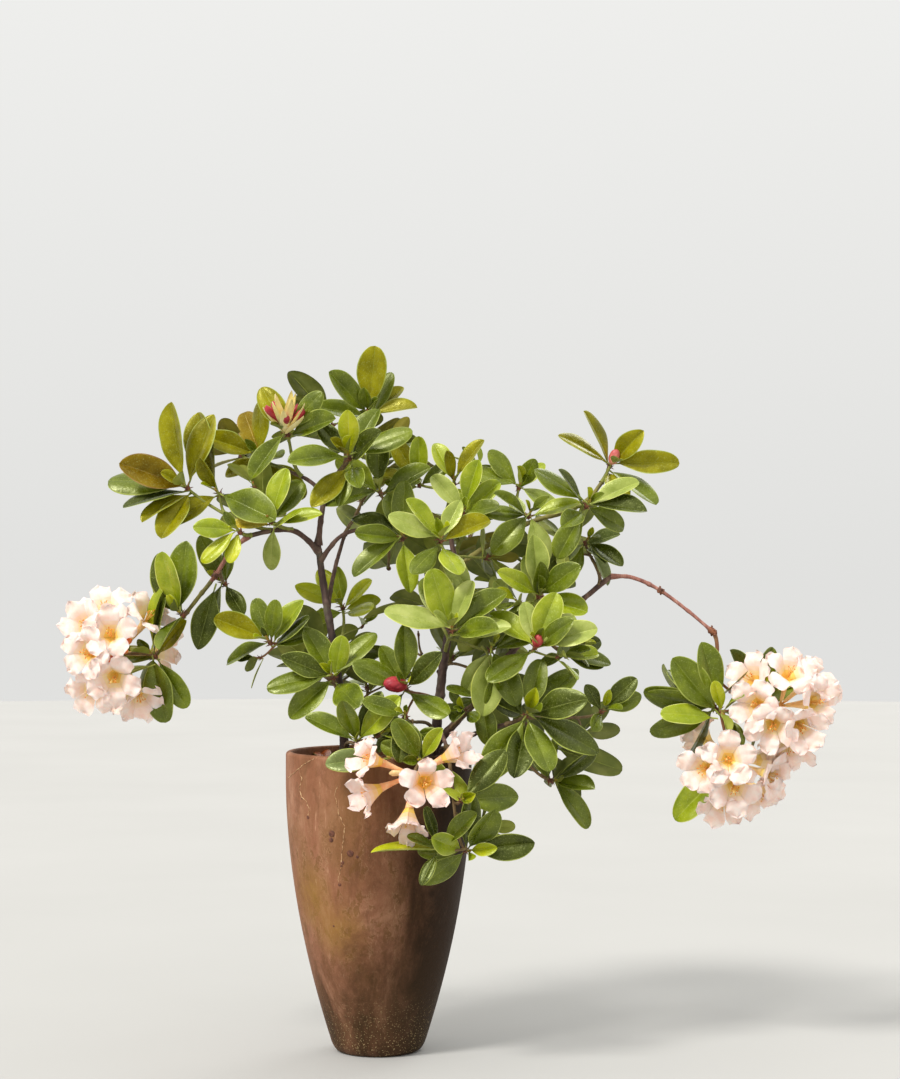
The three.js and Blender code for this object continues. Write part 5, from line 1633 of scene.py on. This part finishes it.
# Olive patches on the pot's front: centre in metres, size and strength
OLIVE_PATCHES = [((-0.085, -0.065, 0.21), 0.05, 0.75), ((-0.045, -0.08, 0.166), 0.045, 0.7)]


def pot_material():
    """Weathered brown clay: soft smudges and streaks, olive stains, flakes and a gritty foot, with painted
    shade darkening one side.
    """
    nodes = Nodes("pot_glaze", specular_ior_level=0.24, specular_tint=(1.0, 0.84, 0.66, 1.0))
    share, multiply = nodes.share, nodes.multiply
    axes = nodes.node("SeparateXYZ", {0: nodes.place}).outputs
    height = axes[2]
    smudge = nodes.noise((19, 19, 8), 10, 0.7, 0.5)
    streak = nodes.noise((60, 60, 6), 7, 0.66, offset=(2, 5, 1))
    broad = nodes.noise((9, 9, 6), 4, 0.55, 0.7, (3, 1, 7))
    blotch = nodes.noise((52, 52, 38), 7, 0.7, 0.9, (4, 9, 2))
    flakes = nodes.noise((74, 74, 46), 9, 0.76, 0.5, (8, 3, 5))
    scratch = nodes.noise((330, 330, 34), 4, 0.6, 0.3, (1, 7, 3))

    # Clay, brown streaks, olive stains and darker blotches
    clay = [(0.3, (108, 70, 48)), (0.45, (134, 88, 62)), (0.56, (148, 100, 74)), (0.7, (172, 126, 98))]
    base = nodes.mix(share(streak, 0.52, 0.72, 0.0, 0.4), nodes.ramp(smudge, clay), (126, 92, 58))
    base = nodes.mix(share(broad, 0.5, 0.66, 0.0, 0.45), base, (124, 92, 52))
    base = nodes.mix(share(blotch, 0.54, 0.62, 0.0, 0.34), base, (98, 64, 40))

    # Flakes with pale rims round the middle, and scratches
    middle = multiply(share(height, 0.32, 0.26, 0.15, 1.0), share(height, 0.07, 0.13, 0.3, 1.0))
    flaked = multiply(share(flakes, 0.535, 0.56, 0.0, 0.6), middle)
    base = nodes.mix(multiply(flaked, share(broad, 0.42, 0.54, 0.4, 1.0)), base, (108, 74, 38))
    rims = multiply(share(flakes, 0.51, 0.535), share(flakes, 0.56, 0.54))
    pale = multiply(rims, share(streak, 0.46, 0.6, 0.0, 0.42))
    base = nodes.mix(multiply(pale, middle), base, (196, 152, 118))
    scratched = multiply(share(scratch, 0.63, 0.69, 0.0, 0.6), share(smudge, 0.44, 0.56, 0.1, 1.0))
    base = nodes.mix(scratched, base, (196, 152, 120))

    for centre, size, strength in OLIVE_PATCHES:
        patch = nodes.node("VectorMath", {0: nodes.place, 1: centre}, operation="DISTANCE").outputs["Value"]
        near = share(patch, size, 0.01, 0.0, strength)
        base = nodes.mix(multiply(near, share(smudge, 0.4, 0.56, 0.25, 1.0)), base, (142, 106, 44))

    # Painted shade on the right side, with a ragged edge that leans with height, and a darker foot
    edge = axes[0]
    for value, factor in ((smudge, -0.1), (broad, -0.08), (height, -0.115)):
        edge = nodes.math("MULTIPLY_ADD", value, factor, edge)
    side = share(edge, -0.155, -0.045)
    # The painted shade: the right side turns dark brown
    base = nodes.mix(side, base, (38, 20, 5))
    low = multiply(share(height, 0.17, 0.05, 0.0, 0.95), share(smudge, 0.35, 0.62, 1.0, 0.45))
    base = nodes.mix(low, base, (50, 35, 17))

    # Pale grit at the foot, and dust, which fades where the side is painted in shade
    grit = share(nodes.noise(520, detail=1), 0.64, 0.69, 0.0, 0.8)
    foot = multiply(share(height, 0.09, 0.01), share(broad, 0.4, 0.6, 0.5, 1.0))
    base = nodes.mix(multiply(grit, foot), base, (200, 176, 128))
    dust = share(nodes.noise(150, detail=5, roughness=0.7), 0.55, 0.8, 0.0, 0.3)
    base = nodes.mix(multiply(dust, share(side, 0.0, 0.9, 1.0, 0.2)), base, (170, 128, 98))
    rough = share(smudge, 0.3, 0.7, 0.74, 0.58)
    return nodes.finish(base, rough, nodes.noise(340, detail=8, roughness=0.72), 0.6, 0.0009)


materials = {"pot_glaze": pot_material()}
for tint, (_, _, _, shades, *wax) in TINTS.items():
    materials[f"leaves_{tint}"] = leaf_material(f"leaves_{tint}", shades, *(wax or [WAX]))
for make, rows in ((mottled, MOTTLED), (bark_material, WOODS)):
    for name, row in rows.items():
        materials[name] = make(name, *row)
for name, shades in PETAL_SHADES.items():
    materials[name] = petal_material(name, shades)


# Pieces: what stands for which nodes, by the start of its name, with its material slot

MASS_NODES = [f"foliage_{name}" for name in by_name]
OWNERS = [
    ("leaves undersides margins ribs twigs tip_buds knots", MASS_NODES, "foliage"),
    ("petals tubes throats pedicels filaments anthers styles closed buds",
     [f"foliage_{name}" for name in BLOOMS], "blossom_and_leaves"),
    ("bark_trunk bark_bough bark_pink bark_green", list(limbs), "bark"),
    ("pot", ["pot"], "clay"),
    ("soil bark_chips", ["soil"], "potting_mix"),
]


def make_piece(name, parts):
    """The forms gathered under a name become one mesh."""
    points = np.concatenate([points for points, _ in parts])
    starts = np.cumsum([0] + [len(points) for points, _ in parts])
    quads = np.concatenate([faces + start for (_, faces), start in zip(parts, starts)])
    mesh = bpy.data.meshes.new(name)
    mesh.vertices.add(len(points))
    mesh.vertices.foreach_set("co", (points * MM).astype(np.float32).ravel())
    mesh.loops.add(quads.size)
    mesh.loops.foreach_set("vertex_index", quads.astype(np.int32).ravel())
    mesh.polygons.add(len(quads))
    mesh.polygons.foreach_set("loop_start", np.arange(len(quads), dtype=np.int32) * 4)
    mesh.update(calc_edges=True)
    if "chips" in name or "grains" in name:
        mesh.shade_flat()
    else:
        mesh.shade_smooth()
    piece = bpy.data.objects.new(name, mesh)
    bpy.context.scene.collection.objects.link(piece)
    mesh.materials.append(materials[name])
    print(f"{name}: {2 * len(quads)} triangles")
    return piece


for name, parts in gathered.items():
    piece = make_piece(name, parts)
    nodes, slot = next(owner[1:] for owner in OWNERS if name.startswith(tuple(owner[0].split())))
    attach(piece, "root")
    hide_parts(*nodes)


# Stage, light and camera

FLOOR = dict(radius=9, corners=64)
# Soft lamps far away: where each shines from, its softness in degrees, strength and colour
LIGHTS = [
    ("key", (-0.62, -0.62, 0.95), 14, 2.6, (1.0, 0.98, 0.94)),
    ("back", (0.5, 0.85, 0.75), 30, 0.7, (1.0, 1.0, 0.98)),
]
# An even pale sky that is brightest overhead
SKY = dict(horizon=(225, 225, 223), overhead=1.55)
CAMERA = dict(lens=75, sensor=36, far=60, place=(0.0927, -2.925, 0.601), tilt=91.16)


def add_object(name, data):
    added = bpy.data.objects.new(name, data)
    bpy.context.scene.collection.objects.link(added)
    return added


floor_mesh = bpy.data.meshes.new("floor")
around = circle(FLOOR["corners"])
corners = [(FLOOR["radius"] * math.cos(a), FLOOR["radius"] * math.sin(a), 0) for a in around]
floor_mesh.from_pydata(corners, [], [list(range(FLOOR["corners"]))])
floor = add_object("floor", floor_mesh)
paper = Nodes("floor_paper", roughness=0.85)
shade = paper.ramp(paper.noise(1.2), [(0.3, (175, 174, 171)), (0.7, (179, 178, 175))])
floor_mesh.materials.append(paper.finish(shade))

for name, toward, softness, strength, shade in LIGHTS:
    light = bpy.data.lights.new(name, "SUN")
    light.angle = math.radians(softness)
    light.energy = strength
    light.color = shade
    lamp = add_object(name, light)
    x, y, z = [2 * part for part in toward]
    lamp.location = (x, y, z)
    lamp.rotation_euler = (math.atan2(math.hypot(x, y), z), 0, math.atan2(-y, -x) - math.pi / 2)

world = bpy.data.worlds.new("studio")
world.use_nodes = True
tree = world.node_tree
sky = tree.nodes["Background"]
sky.inputs["Color"].default_value = colour(*SKY["horizon"])
direction = tree.nodes.new("ShaderNodeTexCoord")
parts = tree.nodes.new("ShaderNodeSeparateXYZ")
height = tree.nodes.new("ShaderNodeMapRange")
height.inputs["To Min"].default_value = 1.0
height.inputs["To Max"].default_value = SKY["overhead"]
tree.links.new(direction.outputs["Generated"], parts.inputs[0])
tree.links.new(parts.outputs["Z"], height.inputs["Value"])
tree.links.new(height.outputs["Result"], sky.inputs["Strength"])
bpy.context.scene.world = world
bpy.context.scene.view_settings.view_transform = "Standard"

camera_data = bpy.data.cameras.new("camera")
camera_data.lens = CAMERA["lens"]
camera_data.sensor_width = CAMERA["sensor"]
camera_data.clip_end = CAMERA["far"]
camera = add_object("camera", camera_data)
camera.location = CAMERA["place"]
camera.rotation_euler = (math.radians(CAMERA["tilt"]), 0, 0)
bpy.context.scene.camera = camera
